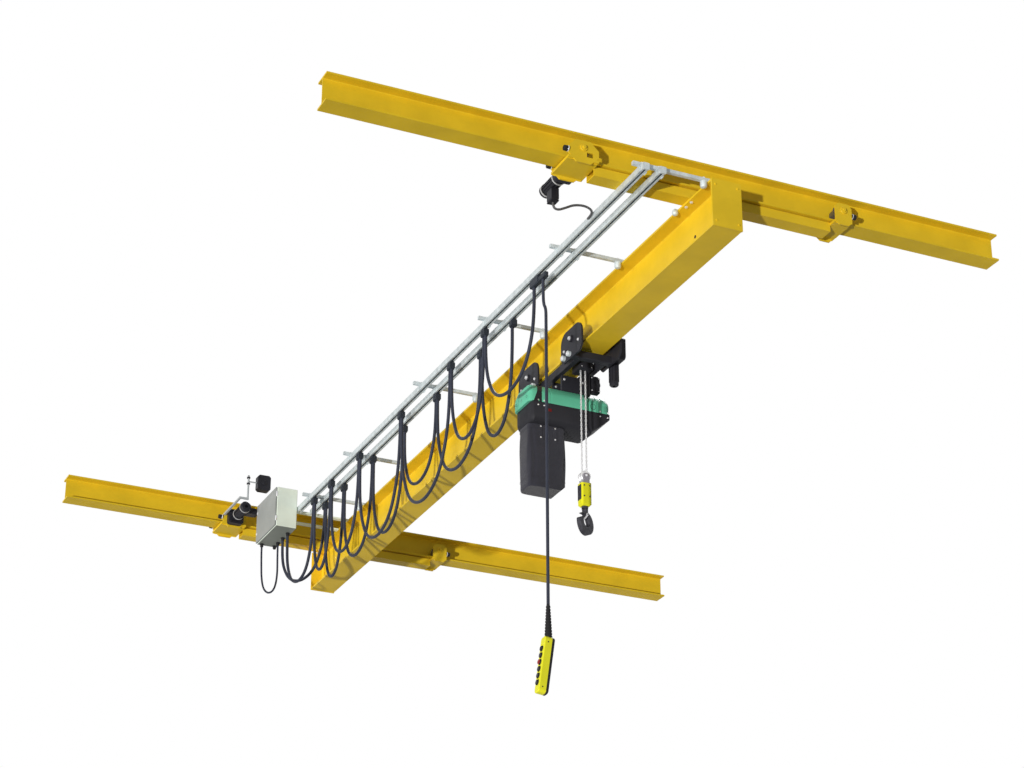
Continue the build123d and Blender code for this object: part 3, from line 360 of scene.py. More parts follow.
def add_box(bm, low, high, bevel=0.0):
    """A box between two corners with rounded edges."""
    size = Vector(high) - Vector(low)
    centre = (Vector(high) + Vector(low)) / 2
    place = Matrix.Translation(centre) @ Matrix.Diagonal((*size, 1))
    verts = bmesh.ops.create_cube(bm, size=1, matrix=place)["verts"]
    if bevel:
        edges = list(dict.fromkeys(edge for vert in verts for edge in vert.link_edges))
        bmesh.ops.bevel(bm, geom=edges, offset=bevel, segments=2, affect="EDGES", clamp_overlap=True)


def circle(bm, middle, radius, side, other, segments):
    """A ring of points about a middle, in the plane of two directions."""
    ring = []
    for number in range(segments):
        turn = 2 * math.pi * number / segments
        ring.append(bm.verts.new(middle + radius * (side * math.cos(turn) + other * math.sin(turn))))
    return ring


def add_lathe(bm, start, axis, profile, segments=24):
    """A turned shape: profile is a list of (distance along the axis, radius)."""
    axis = Vector(axis).normalized()
    side = axis.orthogonal().normalized()
    other = axis.cross(side)
    rings = []
    for along, radius in profile:
        middle = Vector(start) + axis * along
        if radius == 0:
            rings.append([bm.verts.new(middle)])
        else:
            rings.append(circle(bm, middle, radius, side, other, segments))
    for first, second in zip(rings, rings[1:]):
        if len(second) > 1:
            join_rings(bm, (first, second))
            continue
        for number in range(segments):
            bm.faces.new((first[number], first[(number + 1) % segments], second[0]))
    for ring, flip in ((rings[0], True), (rings[-1], False)):
        if len(ring) > 1:
            bm.faces.new(reversed(ring) if flip else ring)


def add_tube(bm, points, radius, segments=12, closed=False):
    """A round bar that follows points."""
    points = [Vector(point) for point in points]
    count = len(points)
    side = None
    rings = []
    for number, point in enumerate(points):
        before = points[number - 1] if number or closed else point
        after = points[(number + 1) % count] if number < count - 1 or closed else point
        along = (after - before).normalized()
        if side is None:
            side = along.orthogonal().normalized()
        side = (side - along * side.dot(along)).normalized()
        rings.append(circle(bm, point, radius, side, along.cross(side), segments))
    join_rings(bm, rings + rings[:1] if closed else rings)
    if not closed:
        bm.faces.new(reversed(rings[0]))
        bm.faces.new(rings[-1])


def add_bolt(bm, at, axis, thread, washer=True):
    """A hexagon bolt head for a thread in millimetres, on a washer, with a chamfered top."""
    size = thread / 1000
    at = Vector(at)
    axis = Vector(axis).normalized()
    if washer:
        add_lathe(bm, at, axis, [(0, size * 1.1), (size * 0.16, size * 1.1), (size * 0.18, size * 1.02)], 16)
        at = at + axis * size * 0.18
    flat = size * 0.95
    add_lathe(bm, at, axis, [(0, flat), (size * 0.5, flat), (size * 0.64, flat * 0.86)], 6)


def add_weld(bm, start, end, first, second, size):
    """A fillet weld along a line: a rounded strip in the corner between two directions."""
    start, end = Vector(start), Vector(end)
    first, second = Vector(first) * size, Vector(second) * size
    steps = max(2, int((end - start).length / WELD_RIPPLE))
    rows = []
    for number in range(steps + 1):
        point = start.lerp(end, number / steps)
        swell = 1 + WELD_SWELL * math.sin(number * 2.4)
        rows.append([
            bm.verts.new(point),
            bm.verts.new(point + first * swell),
            bm.verts.new(point + (first + second) * WELD_CROWN * swell),
            bm.verts.new(point + second * swell),
        ])
    add_skin(bm, rows)


def piece(name, slot, body, build, smooth=True, material=None):
    """A mesh piece that rides on a body, made by build(bm)."""
    bm = bmesh.new()
    build(bm)
    bmesh.ops.recalc_face_normals(bm, faces=bm.faces)
    mesh = bpy.data.meshes.new(name)
    bm.to_mesh(mesh)
    bm.free()
    mesh.materials.append(material or MATERIALS[slot])
    thing = add_object(name, mesh)
    if smooth:
        mesh.shade_smooth()
        mesh.set_sharp_from_angle(angle=SHARP_ANGLE)
    if body:
        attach(thing, body)
    return thing


ROUTE_STEPS = 10


def smooth_line(points):
    """The points read from a NURBS spline along a route."""
    curve = bpy.data.curves.new("route", "CURVE")
    curve.dimensions = "3D"
    curve.resolution_u = ROUTE_STEPS
    spline = curve.splines.new("NURBS")
    spline.points.add(len(points) - 1)
    for target, point in zip(spline.points, points):
        target.co = (*point, 1)
    spline.order_u = 3
    spline.use_endpoint_u = True
    holder = add_object("route", curve)
    bpy.context.view_layer.update()
    mesh = bpy.data.meshes.new_from_object(holder)
    line = [vert.co.copy() for vert in mesh.vertices]
    bpy.data.meshes.remove(mesh)
    bpy.data.objects.remove(holder)
    bpy.data.curves.remove(curve)
    return line


# Cords: the same routes as in the CAD

BAY_SHAPE = [
    (0, 0), (0, 0.3), (0.06, 0.62), (0.22, 0.9), (0.5, 1.0), (0.78, 0.9), (0.94, 0.62), (1, 0.3), (1, 0),
]
CONTROL_BAY_BOTTOMS = (-0.745, -0.785, -0.925, -0.890, -0.785, -0.770, -0.739)
SUPPLY_BAY_BOTTOMS = (-0.830, -0.815, -0.690, -0.815, -0.790, -0.790, -0.702)
CONTROL_CARRIER_Y = (1.581, 2.026, 2.727, 3.362, 3.820, 4.110)
SUPPLY_CARRIER_Y = (1.824, 2.424, 2.899, 3.373, 3.837, 4.150)
FESTOON = {"control": (RAIL_X[0], CONTROL_CARRIER_Y), "supply": (RAIL_X[1], SUPPLY_CARRIER_Y)}
TOW_Y = 0.950
HOIST_TOW_Y = 1.405
CONTROL_GLAND = (-0.472, 4.4405, -0.3843)
SUPPLY_GLAND = (-0.472, 4.529, -0.3843)
PENDANT_Y = 0.838
PENDANT_TOP = -2.034
DRIVE_CABLE = [
    (-0.672, 0.240, -0.2265), (-0.672, 0.240, -0.250), (-0.648, 0.243, -0.262), (-0.600, 0.246, -0.236),
    (-0.560, 0.244, -0.212), (-0.505, 0.240, -0.204), (-0.464, 0.244, -0.214), (-0.447, 0.270, -0.222),
    (-0.4455, 0.320, -0.222),
]
LOOP_CABLE = [
    (-0.556, 4.6812, -0.3845), (-0.556, 4.681, -0.440), (-0.560, 4.640, -0.650), (-0.550, 4.560, -0.735),
    (-0.515, 4.530, -0.720), (-0.476, 4.590, -0.600), (-0.472, 4.6175, -0.440), (-0.472, 4.6175, -0.3845),
]


def bay_points(start, end, bottom):
    """Points of a cable bay that hangs between two ends."""
    points = []
    for share, depth in BAY_SHAPE:
        level = start[2] + share * (end[2] - start[2])
        points.append((
            start[0] + share * (end[0] - start[0]),
            start[1] + share * (end[1] - start[1]),
            level + depth * (bottom - level),
        ))
    return points


def cord(name, points, diameter, body, node):
    """A hanging cable as a mesh tube along its route."""
    line = smooth_line(points)
    thing = piece(name, "cable_sheath", body, lambda bm: add_tube(bm, line, diameter / 2))
    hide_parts(node)
    return thing


def festoon_line(line, towed, bottoms, gland):
    """The bays of one line. Each hangs between two carriers, and the line runs between the bridge and what
    tows it.
    """
    x, stations = FESTOON[line]
    starts = [(x, y + CARRIER_GRIP, SADDLE_BOTTOM) for y in (towed + CARRIER_GRIP,) + stations]
    ends = [(x, y - CARRIER_GRIP, SADDLE_BOTTOM) for y in stations] + [gland]
    for number, (start, end, bottom) in enumerate(zip(starts, ends, bottoms)):
        points = bay_points(start, end, bottom)
        thing = cord(f"{line}_bay_{number + 1}", points, FESTOON_DIAMETER, None, f"cables_{line}")
        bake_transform(thing)


def festoon_bays():
    festoon_line("control", TOW_Y, CONTROL_BAY_BOTTOMS, CONTROL_GLAND)
    festoon_line("supply", HOIST_TOW_Y, SUPPLY_BAY_BOTTOMS, SUPPLY_GLAND)


def other_cords():
    """The cables that each ride on one body: two on the bridge, and the one that the pendant hangs from."""
    thin = cord("drive_cable", DRIVE_CABLE, DRIVE_CABLE_DIAMETER, "bridge", "cables_fixed")
    thin.data.materials[0] = MATERIALS["thin_sheath"]
    cord("loop_cable", LOOP_CABLE, DRIVE_CABLE_DIAMETER, "bridge", "cables_fixed")
    x, y = RAIL_X[0], PENDANT_Y
    hanging = [
        (x, y + 0.030, SADDLE_BOTTOM), (x, y + 0.030, -0.360), (x, y + 0.028, -0.425), (x, y + 0.001, -0.465),
        (x, y, -0.530), (x, y, -1.0), (x, y, -1.5), (x, y, PENDANT_TOP),
    ]
    cord("pendant_cord", hanging, PENDANT_CABLE_DIAMETER, "pendant", "pendant_cable")


# The load chain

LINK_WIRE = 0.0021
LINK_LENGTH = 0.0175
LINK_WIDTH = 0.0078
LINK_PITCH = 0.0125
LINK_STEPS = 6
LAST_LINK_REACH = 0.012


def link_path(centre, turned):
    """The long oval of one chain link, upright, its flat side along X or along Y."""
    straight = LINK_LENGTH / 2 - LINK_WIDTH / 2
    radius = LINK_WIDTH / 2 - LINK_WIRE / 2
    points = []
    for end in (1, -1):
        for step in range(LINK_STEPS + 1):
            turn = math.pi * step / LINK_STEPS
            side = end * math.cos(turn) * radius
            up = end * (straight + math.sin(turn) * radius)
            flat = (0, side) if turned else (side, 0)
            points.append((centre[0] + flat[0], centre[1] + flat[1], centre[2] + up))
    return points


def load_chain():
    """Both falls, link by link; they stretch between the trolley and the hook block."""
    def build(bm):
        for x in (-CHAIN_X, CHAIN_X):
            z = CHAIN_TOP - LINK_LENGTH / 2
            number = 0
            while z > CHAIN_BOTTOM - LAST_LINK_REACH:
                add_tube(bm, link_path((x, CHAIN_Y, z), number % 2 == 1), LINK_WIRE, 6, closed=True)
                z -= LINK_PITCH
                number += 1
    thing = piece("load_chain", "chain_steel", None, build)
    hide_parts("chain_falls")
    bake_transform(thing)


# Beams, carriages and drives

YOKES = ((-0.672, 0.0), (0.755, 0.0), (-0.672, 5.0), (0.755, 5.0))
YOKE_FACE = 0.095
WHEEL_AXLE_Z = -0.1052
AXLE_END = [(0, 0.019), (0.005, 0.019), (0.007, 0.017), (0.007, 0.012)]
BUFFER_SEAT = [(0, 0.0152), (0.003, 0.0152), (0.004, 0.0145), (0.004, 0.0138)]
ARM_Y = (-0.205, 0.685, 1.555, 2.435, 3.500, 4.188)
ARM_TOP = -0.188
ARM_BOTTOM = -0.2062
FLANGE_BOLT_X = -0.0945
RUNWAY_Y = (0.0, 5.0)
RUNWAY_X = ((-1.95, 1.7), (-1.75, 2.45))
RUNWAY_INNER_Z = (-0.141, -0.009)
RUNWAY_WEB = 0.003
GIRDER_FLANGE = 0.011
GIRDER_WEB = 0.004
END_PLATE_INNER_Y = (-0.245, 5.062)
END_PLATE_OUTER_Y = (-0.255, 5.072)
WELD_GAP = 0.002
GIRDER_WELD = 0.005
RUNWAY_WELD = 0.004
YOKE_WELD = 0.006


def beam_welds():
    def girder(bm):
        low, high = GIRDER_BOTTOM + GIRDER_FLANGE, GIRDER_TOP - GIRDER_FLANGE
        near, far = END_PLATE_INNER_Y
        for side in SIDES:
            x = side * GIRDER_WEB
            for z, up in ((low, 1), (high, -1)):
                add_weld(bm, (x, near, z), (x, far, z), (side, 0, 0), (0, 0, up), GIRDER_WELD)
            for y, inward in ((near, BACK), (far, FRONT)):
                start, end = (x, y, low + WELD_GAP), (x, y, high - WELD_GAP)
                add_weld(bm, start, end, (side, 0, 0), inward, GIRDER_WELD)
    piece("girder_welds", "crane_paint", "bridge", girder)

    def runway(bm):
        for middle, (low, high) in zip(RUNWAY_Y, RUNWAY_X):
            for side in SIDES:
                y = middle + side * RUNWAY_WEB
                for z, up in zip(RUNWAY_INNER_Z, (1, -1)):
                    add_weld(bm, (low, y, z), (high, y, z), (0, side, 0), (0, 0, up), RUNWAY_WELD)
    piece("runway_welds", "runway_paint", "runways", runway)


def carriage_fasteners():
    """Bolts below the girder, axle ends, weld seams on the yokes and the buffers' seats."""
    def below(bm):
        for y in RUNWAY_Y:
            for dx, dy in corners(0.062, 0.026):
                add_bolt(bm, (dx, y + dy, -0.217), DOWN, 8)
    piece("carriage_fasteners", "chain_steel", "bridge", below)

    def axles(bm):
        for (x, y), side in pairs(YOKES, SIDES):
            face = y + side * YOKE_FACE
            add_lathe(bm, (x, face, WHEEL_AXLE_Z), (0, side, 0), AXLE_END)
            add_bolt(bm, (x, face + side * AXLE_END[-1][0], WHEEL_AXLE_Z), (0, side, 0), 10)
        for y, out in zip(END_PLATE_OUTER_Y, (FRONT, BACK)):
            for x, z in pairs((-0.060, 0.060), (-0.235, -0.43)):
                add_bolt(bm, (x, y, z), out, 6, False)
    piece("painted_axle_ends", "crane_paint", "bridge", axles)

    def seams(bm):
        for (x, y), side in pairs(YOKES, SIDES):
            half = 0.075 if x < 0 else 0.042
            face = y + side * 0.087
            start, end = (x - half, face, -0.171), (x + half, face, -0.171)
            add_weld(bm, start, end, (0, -side, 0), DOWN, YOKE_WELD)
    piece("yoke_welds", "crane_paint", "bridge", seams)

    def seats(bm):
        for x, out in ((-0.752, LEFT), (0.802, RIGHT)):
            for y, side in pairs(RUNWAY_Y, SIDES):
                add_lathe(bm, (x, y + side * 0.091, -0.127), out, BUFFER_SEAT)
    piece("buffer_seats", "chain_steel", "bridge", seats)


DRIVE_X = YOKES[0][0]
DRIVE_Z = -0.129
GEAR_CASE = 0.044
MOTOR_LENGTH = 0.190
MOTOR_BOX_REACH = 0.097
BOX_LID = 0.0015
LID_DEPTH = 0.0055
COWL = [(0, 0.030), (0.002, 0.0345), (0.018, 0.0345), (0.0255, 0.028), (0.026, 0.012), (0.026, 0.0)]
COWL_RIBS = 5
COWL_RIB_PITCH = 0.0045


def drive_details():
    """Gear case bolts, fan cowls and terminal box lids of both travel drives."""
    def motor_end(bm, face, way):
        for dx, dz in corners(0.036, 0.034):
            add_bolt(bm, (DRIVE_X + dx, face + way * GEAR_CASE, DRIVE_Z + dz), (0, way, 0), 6)
        end = face + way * (GEAR_CASE + MOTOR_LENGTH)
        add_lathe(bm, (DRIVE_X, end - way * COWL[-1][0], DRIVE_Z), (0, way, 0), COWL, 32)
        for number in range(COWL_RIBS):
            inner = 0.005 + number * COWL_RIB_PITCH
            outer = inner + 0.0015
            add_lathe(bm, (DRIVE_X, end - way * 0.0005, DRIVE_Z), (0, way, 0),
                      [(0, outer), (0.0012, outer), (0.0012, inner), (0, inner)], 32)
        return face + way * (GEAR_CASE + 0.53 * MOTOR_LENGTH)

    def build(bm):
        x, z = DRIVE_X, DRIVE_Z
        y = motor_end(bm, YOKE_FACE, 1)
        lid = z - MOTOR_BOX_REACH - BOX_LID
        add_box(bm, (x - 0.021, y - 0.027, lid), (x + 0.021, y + 0.027, lid + LID_DEPTH), 0.0015)
        for dx, dy in corners(0.015, 0.021):
            add_bolt(bm, (x + dx, y + dy, lid), DOWN, 3.5, False)
        y = motor_end(bm, RUNWAY_Y[1] - YOKE_FACE, -1)
        lid = x + MOTOR_BOX_REACH + BOX_LID
        add_box(bm, (lid - LID_DEPTH, y - 0.027, z - 0.021), (lid, y + 0.027, z + 0.021), 0.0015)
        for dz, dy in corners(0.015, 0.021):
            add_bolt(bm, (lid, y + dy, z + dz), RIGHT, 3.5, False)
    piece("drive_details", "drive_black", "bridge", build)


def girder_fasteners():
    """Bolts and caps of the festoon's arms, a spare clamp, and a black disc on the web as painted shade for a
    hole there.
    """
    def bolts(bm):
        for y in ARM_Y:
            add_bolt(bm, (FLANGE_BOLT_X, y, ARM_TOP), UP, 8)
            for x in RAIL_X:
                add_bolt(bm, (x, y, ARM_TOP), UP, 7)
    piece("girder_fasteners", "chain_steel", "bridge", bolts)

    def clamps(bm):
        cap = [(0, 0.0172), (0.022, 0.0176), (0.031, 0.0135), (0.0345, 0.007), (0.035, 0)]
        for y in ARM_Y:
            add_lathe(bm, (FLANGE_BOLT_X, y, ARM_BOTTOM), DOWN, cap)
            for x in RAIL_X:
                for low, high in ((x - 0.019, x - 0.0152), (x + 0.0152, x + 0.019)):
                    add_box(bm, (low, y - 0.012, -0.2415), (high, y + 0.012, ARM_BOTTOM), 0.001)
    piece("arm_clamp_caps", "rail_zinc", "bridge", clamps)

    def spare(bm):
        add_box(bm, (-0.0995, 0.078, -0.2170), (-0.0785, 0.100, ARM_BOTTOM), 0.002)
        cap = [(0, 0.0150), (0.010, 0.0160), (0.018, 0.0125), (0.022, 0.006), (0.0225, 0)]
        add_lathe(bm, (-0.0890, 0.089, -0.2170), DOWN, cap)
    piece("spare_flange_clamp", "rail_zinc", "bridge", spare)

    def hole_shade(bm):
        # A flat black disc where the web shows a dark hole: painted shade for the hole.
        disc = [(0, 0.0085), (0.0012, 0.0085), (0.0018, 0.0070), (0.0018, 0)]
        add_lathe(bm, (-0.0038, 0.052, -0.354), LEFT, disc, 20)
    piece("web_hole_shade", "rubber", "bridge", hole_shade)


CABINET_Y = (4.3545, 4.7035)
HINGE = [(0, 0.0045), (0.001, 0.005), (0.031, 0.005), (0.032, 0.0045)]
LOCK = [(0, 0.009), (0.003, 0.009), (0.004, 0.008), (0.004, 0.003)]


def cabinet_details():
    """The cabinet's hinges, locks, base plate, door and seal; the door is painted a darker grey than the
    cabinet, as painted shade on the cabinet's left face.
    """
    x = -0.589
    near, far = CABINET_Y

    def steel(bm):
        for z in (-0.150, -0.312):
            add_lathe(bm, (x + 0.006, near - 0.002, z - 0.016), UP, HINGE, 16)
        for z in (-0.16, -0.30):
            add_lathe(bm, (x, 4.688, z), LEFT, LOCK)
            add_box(bm, (x - 0.0055, 4.6865, z - 0.005), (x - 0.0038, 4.6895, z + 0.005), 0.0004)
    piece("cabinet_lock", "chain_steel", "bridge", steel)

    def plate(bm):
        add_box(bm, (-0.578, near, -0.3618), (-0.4495, far, -0.3590), 0.001)
    piece("cabinet_base_plate", "cabinet_paint", "bridge", plate, material=MATERIALS["base_paint"])

    # The door covers the cabinet's left face; its darker grey is painted shade for that face.
    def door(bm):
        add_box(bm, (-0.5897, near, -0.3575), (-0.5815, far, -0.1045), 0.002)
    piece("cabinet_door", "cabinet_paint", "bridge", door, material=MATERIALS["door_painted_shade"])

    def seal(bm):
        add_box(bm, (-0.5815, near + 0.002, -0.3555), (-0.5792, far - 0.002, -0.1065), 0.0008)
    piece("cabinet_seal", "rubber", "bridge", seal)


POST_PLACE = (-0.69, 4.6)
POST_CAP = [(0, 0.006), (0.002, 0.006), (0.004, 0.004), (0.004, 0)]
POST_COLLAR = [(0, 0.010), (0.001, 0.011), (0.009, 0.011), (0.010, 0.010)]
SWITCH_FRONT_Y = 4.577
KNOB = [(0, 0.017), (0.004, 0.017), (0.007, 0.012), (0.007, 0.006), (0.010, 0.005), (0.010, 0)]


def limit_switch_details():
    """The lever post's cap and collars, and the switch's front with its knob."""
    def build(bm):
        add_lathe(bm, (*POST_PLACE, 0.046), UP, POST_CAP, 16)
        for z in (-0.012, 0.028):
            add_lathe(bm, (*POST_PLACE, z), UP, POST_COLLAR, 20)
        for x, z in pairs((-0.622, -0.563), (-0.026, 0.042)):
            add_bolt(bm, (x, SWITCH_FRONT_Y, z), FRONT, 4, False)
        add_lathe(bm, (-0.5925, SWITCH_FRONT_Y, 0.008), FRONT, KNOB, 28)
    piece("limit_switch_trim", "drive_black", "bridge", build)


STRAP_Z = (-0.2835, -0.2515)
STRAP_SCREW_Z = -0.262
STRAP_SCREW = [(0, 0.0042), (0.0015, 0.0042), (0.002, 0.0035), (0.002, 0)]
CARRIER_STOP = [(0, 0.006), (0.002, 0.0055), (0.003, 0.003), (0.003, 0)]


def add_strap(bm, x, y):
    add_box(bm, (x - 0.0165, y - 0.010, STRAP_Z[0]), (x + 0.0165, y + 0.010, STRAP_Z[1]), 0.0012)


def carrier_details():
    """A strap, clamp screws and rubber stops on every cable carrier, and the carrier that the hoist tows."""
    for line, (x, stations) in FESTOON.items():
        for number, y in enumerate(stations, 1):
            def build(bm):
                add_strap(bm, x, y)
                for side in SIDES:
                    add_lathe(bm, (x + side * 0.0162, y, STRAP_SCREW_Z), (side, 0, 0), STRAP_SCREW, 12)
                    add_lathe(bm, (x, y + side * 0.0225, STRAP_SCREW_Z), (0, side, 0), CARRIER_STOP, 12)
            piece(f"{line}_carrier_strap_{number}", "carrier_plastic", f"{line}_carrier_{number}", build)

    def towed(bm):
        x, y, z = RAIL_X[1], HOIST_TOW_Y + CARRIER_GRIP, SADDLE_BOTTOM
        add_box(bm, (x - 0.015, y - 0.023, z), (x + 0.015, y + 0.023, z + 0.042), 0.005)
        add_box(bm, (x - 0.0025, y - 0.023, z + 0.040), (x + 0.0025, y + 0.023, z + 0.052))
        add_strap(bm, x, y)
    piece("hoist_tow_carrier", "carrier_plastic", "trolley", towed)


# The hoist trolley

TROLLEY_AXLE_Y = (1.180, 1.700)
TROLLEY_AXLE_Z = -0.4142
AXLE_END_X = 0.125
FRAME_FACE_X = 0.116
GUARD_X = -0.134
GUARD_Z = -0.496
GUARD_CAP = [(0, 0.0105), (0.0015, 0.0105), (0.002, 0.0095), (0.002, 0.005), (0.004, 0.005), (0.004, 0)]
TROLLEY_FAN = [(0, 0.021), (0.002, 0.0245), (0.014, 0.0245), (0.0195, 0.020), (0.020, 0.008), (0.020, 0)]


def trolley_details():
    """Bolts of the frames and axles, the guard rollers' caps and the drive's bolts and fan cowl."""
    front_axle = TROLLEY_AXLE_Y[0]

    def bolts(bm):
        """The drive covers the front axle's right end and the bolts beside it."""
        places = [(y, side) for y, side in pairs(TROLLEY_AXLE_Y, SIDES) if side < 0 or y != front_axle]
        for y, side in places:
            add_bolt(bm, (side * AXLE_END_X, y, TROLLEY_AXLE_Z), (side, 0, 0), 10)
        for (y, side), step in pairs(places, (-0.082, 0.082)):
            add_bolt(bm, (side * FRAME_FACE_X, y + step, -0.455), (side, 0, 0), 7)
        for x, y in pairs((-0.055, 0.055), (HOIST_Y[0] + 0.042, HOIST_Y[1] - 0.058)):
            add_bolt(bm, (x, y, -0.545), FRONT, 6)
    piece("trolley_bolts", "chain_steel", "trolley", bolts)

    def rollers(bm):
        for step in (0.015, 0.078):
            for y in (front_axle + step, TROLLEY_AXLE_Y[1] - step):
                add_lathe(bm, (GUARD_X, y, GUARD_Z), LEFT, GUARD_CAP)
    piece("guard_roller_caps", "chain_steel", "trolley", rollers)

    def drive(bm):
        for dy, dz in pairs((-0.045, 0.045), (-0.045, 0.020)):
            add_bolt(bm, (0.170, front_axle + dy, TROLLEY_AXLE_Z + dz), RIGHT, 5.5)
        add_lathe(bm, (0.148, 1.217, TROLLEY_AXLE_Z - 0.184), DOWN, TROLLEY_FAN, 28)
    piece("trolley_drive_trim", "drive_black", "trolley", drive)


# The hoist

HOIST_X = (-0.276, 0.188)
HOIST_Y = (1.345, 1.545)
HOIST_Z = (-0.832, -0.612)
HOIST_SPLIT = -0.722
HOIST_INNER = (-0.206, 0.142)
BAND = 0.012
SLANT = 0.038
FOOT_X = HOIST_X[1] - 0.098
FOOT_LENGTH = 0.096
FOOT_RISE = 0.082
PROUD = 0.0005
SEAM_DEPTH = 0.003
SCREW = [(0, 0.0042), (0.0010, 0.0042), (0.0018, 0.0034), (0.0018, 0.0020), (0.0006, 0.0018), (0.0006, 0)]
PLUG = [(0, 0.0165), (0.003, 0.0165), (0.0034, 0.0150), (0.0022, 0.0130), (0.0022, 0)]
CAP_SCREW = [(0, 0.0075), (0.0026, 0.0075), (0.0030, 0.0060), (0.0012, 0.0050), (0.0012, 0)]


def whole_section(half, inset):
    """A housing's section (y, z) from its front half, a list of (depth from the front, z)."""
    front, back = HOIST_Y[0] + inset, HOIST_Y[1] - inset
    return [(front + depth, z) for depth, z in half] + [(back - depth, z) for depth, z in reversed(half)]


def upper_section(inset):
    """The upper shell's section: straight below, leaning back above, flat on top."""
    low, top = HOIST_SPLIT, HOIST_Z[1] - inset
    half = [(0, low), (0, low + 0.052), (0.006, low + 0.066), (0.030, top - 0.010), (0.044, top)]
    return whole_section(half, inset)


def lower_section(inset):
    """The lower housing's section: upright sides and a rounded bottom."""
    low, top = HOIST_Z[0] + inset, HOIST_SPLIT
    half = [(0, top), (0, low + 0.030), (0.004, low + 0.016), (0.014, low + 0.005), (0.030, low)]
    return whole_section(half, inset)


def loft_along_x(bm, stations, section):
    """A solid through a section at stations (x, inset)."""
    add_skin(bm, [[bm.verts.new((x, y, z)) for y, z in section(inset)] for x, inset in stations])


def hoist_housing():
    left, right = HOIST_INNER

    def middle(bm):
        stations = [(left, 0.003), (left + 0.002, 0.001), (left + 0.004, PROUD)]
        for seam in (left + 0.055, right - 0.075, right - 0.030):
            stations += [(seam - 0.003, PROUD), (seam - 0.0015, SEAM_DEPTH)]
            stations += [(seam + 0.0015, SEAM_DEPTH), (seam + 0.003, PROUD)]
        stations += [(right - 0.004, PROUD), (right - 0.002, 0.001), (right, 0.003)]
        loft_along_x(bm, stations, upper_section)
    thing = piece("hoist_shell", "hoist_green", "trolley", middle)
    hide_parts("hoist_upper_housing")

    def ends(bm):
        start, end = HOIST_X
        seam = left - BAND
        loft_along_x(bm, [(start + 0.0005, 0.026), (start + 0.004, 0.015), (start + 0.012, 0.006),
                          (start + 0.024, 0.001), (seam - 0.002, PROUD), (seam, 0.002)], upper_section)
        loft_along_x(bm, [(right, 0.002), (right + 0.002, PROUD), (end - 0.020, PROUD),
                          (end - 0.006, 0.009), (end - 0.0005, 0.018)], upper_section)
    thing = piece("hoist_caps", "hoist_green", "trolley", ends)
    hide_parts("hoist_end_covers")

    def base(bm):
        """The lower housing, its foot that rises towards the right, and a band under the seam."""
        start = HOIST_X[0] + 0.014
        loft_along_x(bm, [(start + 0.0005, 0.020), (start + 0.006, 0.008), (start + 0.016, 0.001),
                          (FOOT_X, PROUD)], lower_section)
        rings = []
        for share in (0.0, 0.33, 0.66, 1.0):
            floor = HOIST_Z[0] + share * FOOT_RISE
            ring = []
            for y, z in lower_section(PROUD + 0.003 * share):
                ring.append(bm.verts.new((FOOT_X + share * FOOT_LENGTH, y, min(HOIST_SPLIT, max(z, floor)))))
            rings.append(ring)
        add_skin(bm, rings)
        loft_along_x(bm, [(left - BAND, 0.0), (left, 0.0)], upper_section)
    thing = piece("hoist_base", "hoist_black", "trolley", base)
    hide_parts("hoist_lower_housing")


def slanted_band():
    """The black band between the left cap and the shell: it leans outwards as it comes down."""
    top = HOIST_Z[1]

    def build(bm):
        rings = []
        for x, inset in ((-0.214, 0.0015), (-0.214, -0.0008), (-0.188, -0.0008), (-0.188, 0.0015)):
            ring = []
            for y, z in upper_section(inset):
                lean = SLANT * (top - z) / (top - HOIST_SPLIT)
                ring.append(bm.verts.new((x - lean, y, z)))
            rings.append(ring)
        join_rings(bm, rings + rings[:1])
    piece("hoist_slanted_band", "hoist_black", "trolley", build, smooth=False)


def hoist_trim():
    """Seams, slots, screws, ribs and the warning mark on the hoist's housings."""
    front, back = HOIST_Y
    start, end = HOIST_X
    left, right = HOIST_INNER
    split = HOIST_SPLIT
    base = HOIST_Z[0]

    def dark(bm):
        low = (start + 0.016, front - 0.0004, split - 0.003)
        add_box(bm, low, (end - 0.004, front + 0.001, split + 0.001), 0.0004)
        for step in range(4):
            x = right + 0.010 + step * 0.006
            low = (x, front + 0.0002, split + 0.012)
            add_box(bm, low, (x + 0.002, front + 0.0016, split + 0.046), 0.0005)
        add_lathe(bm, (right - 0.052, front + 0.0035, split + 0.030), FRONT, PLUG, 28)
        for dy in (0.036, 0.100, 0.164):
            add_lathe(bm, (start + 0.003, front + dy, split + 0.034), LEFT, CAP_SCREW, 16)
    piece("hoist_seams", "hoist_black", "trolley", dark)

    def screws(bm):
        screw_x = (start + 0.050, left + 0.014, right - 0.012, end - 0.014)
        for x, z in pairs(screw_x, (split + 0.010, split - 0.018)):
            add_lathe(bm, (x, front + 0.0006, z), FRONT, SCREW, 14)
    piece("hoist_screws", "chain_steel", "trolley", screws)

    def ribs(bm):
        for number in range(9):
            x = -0.070 + number * 0.020
            add_box(bm, (x, front + 0.034, base - 0.0002), (x + 0.006, back - 0.034, base + 0.0035), 0.001)
        for number in range(6):
            z = split - 0.030 - number * 0.010
            add_box(bm, (start + 0.0145, front + 0.050, z), (start + 0.0175, back - 0.050, z + 0.003), 0.001)
    piece("hoist_base_ribs", "hoist_black", "trolley", ribs)

    def mark(bm):
        add_box(bm, (-0.186, front - 0.0008, split - 0.046), (-0.150, front + 0.0006, split - 0.030), 0.0006)
    red = paint("warning_red", (0.16, 0.012, 0.012), 0.5)
    piece("hoist_warning_mark", "hoist_black", "trolley", mark, material=red)


GUIDE_X = (-0.030, 0.046)
GUIDE_Z = (-0.530, -0.466)
GUIDE_ROUND = 0.030
GUIDE_ARC_STEPS = 6
MOTOR_PLACE = (0.088, -0.581)
GUIDE_LIP = [(0, 0.0115), (0.0001, 0.0115), (0.0001, 0.007), (0, 0.007)]
GUIDE_BOSS = [(0, 0.026), (0.0030, 0.026), (0.0034, 0.020), (0.0034, 0)]
MOTOR_COVER = [(0, 0.027), (0.0016, 0.027), (0.0030, 0.023), (0.0030, 0.010), (0.0036, 0.009), (0.0036, 0)]


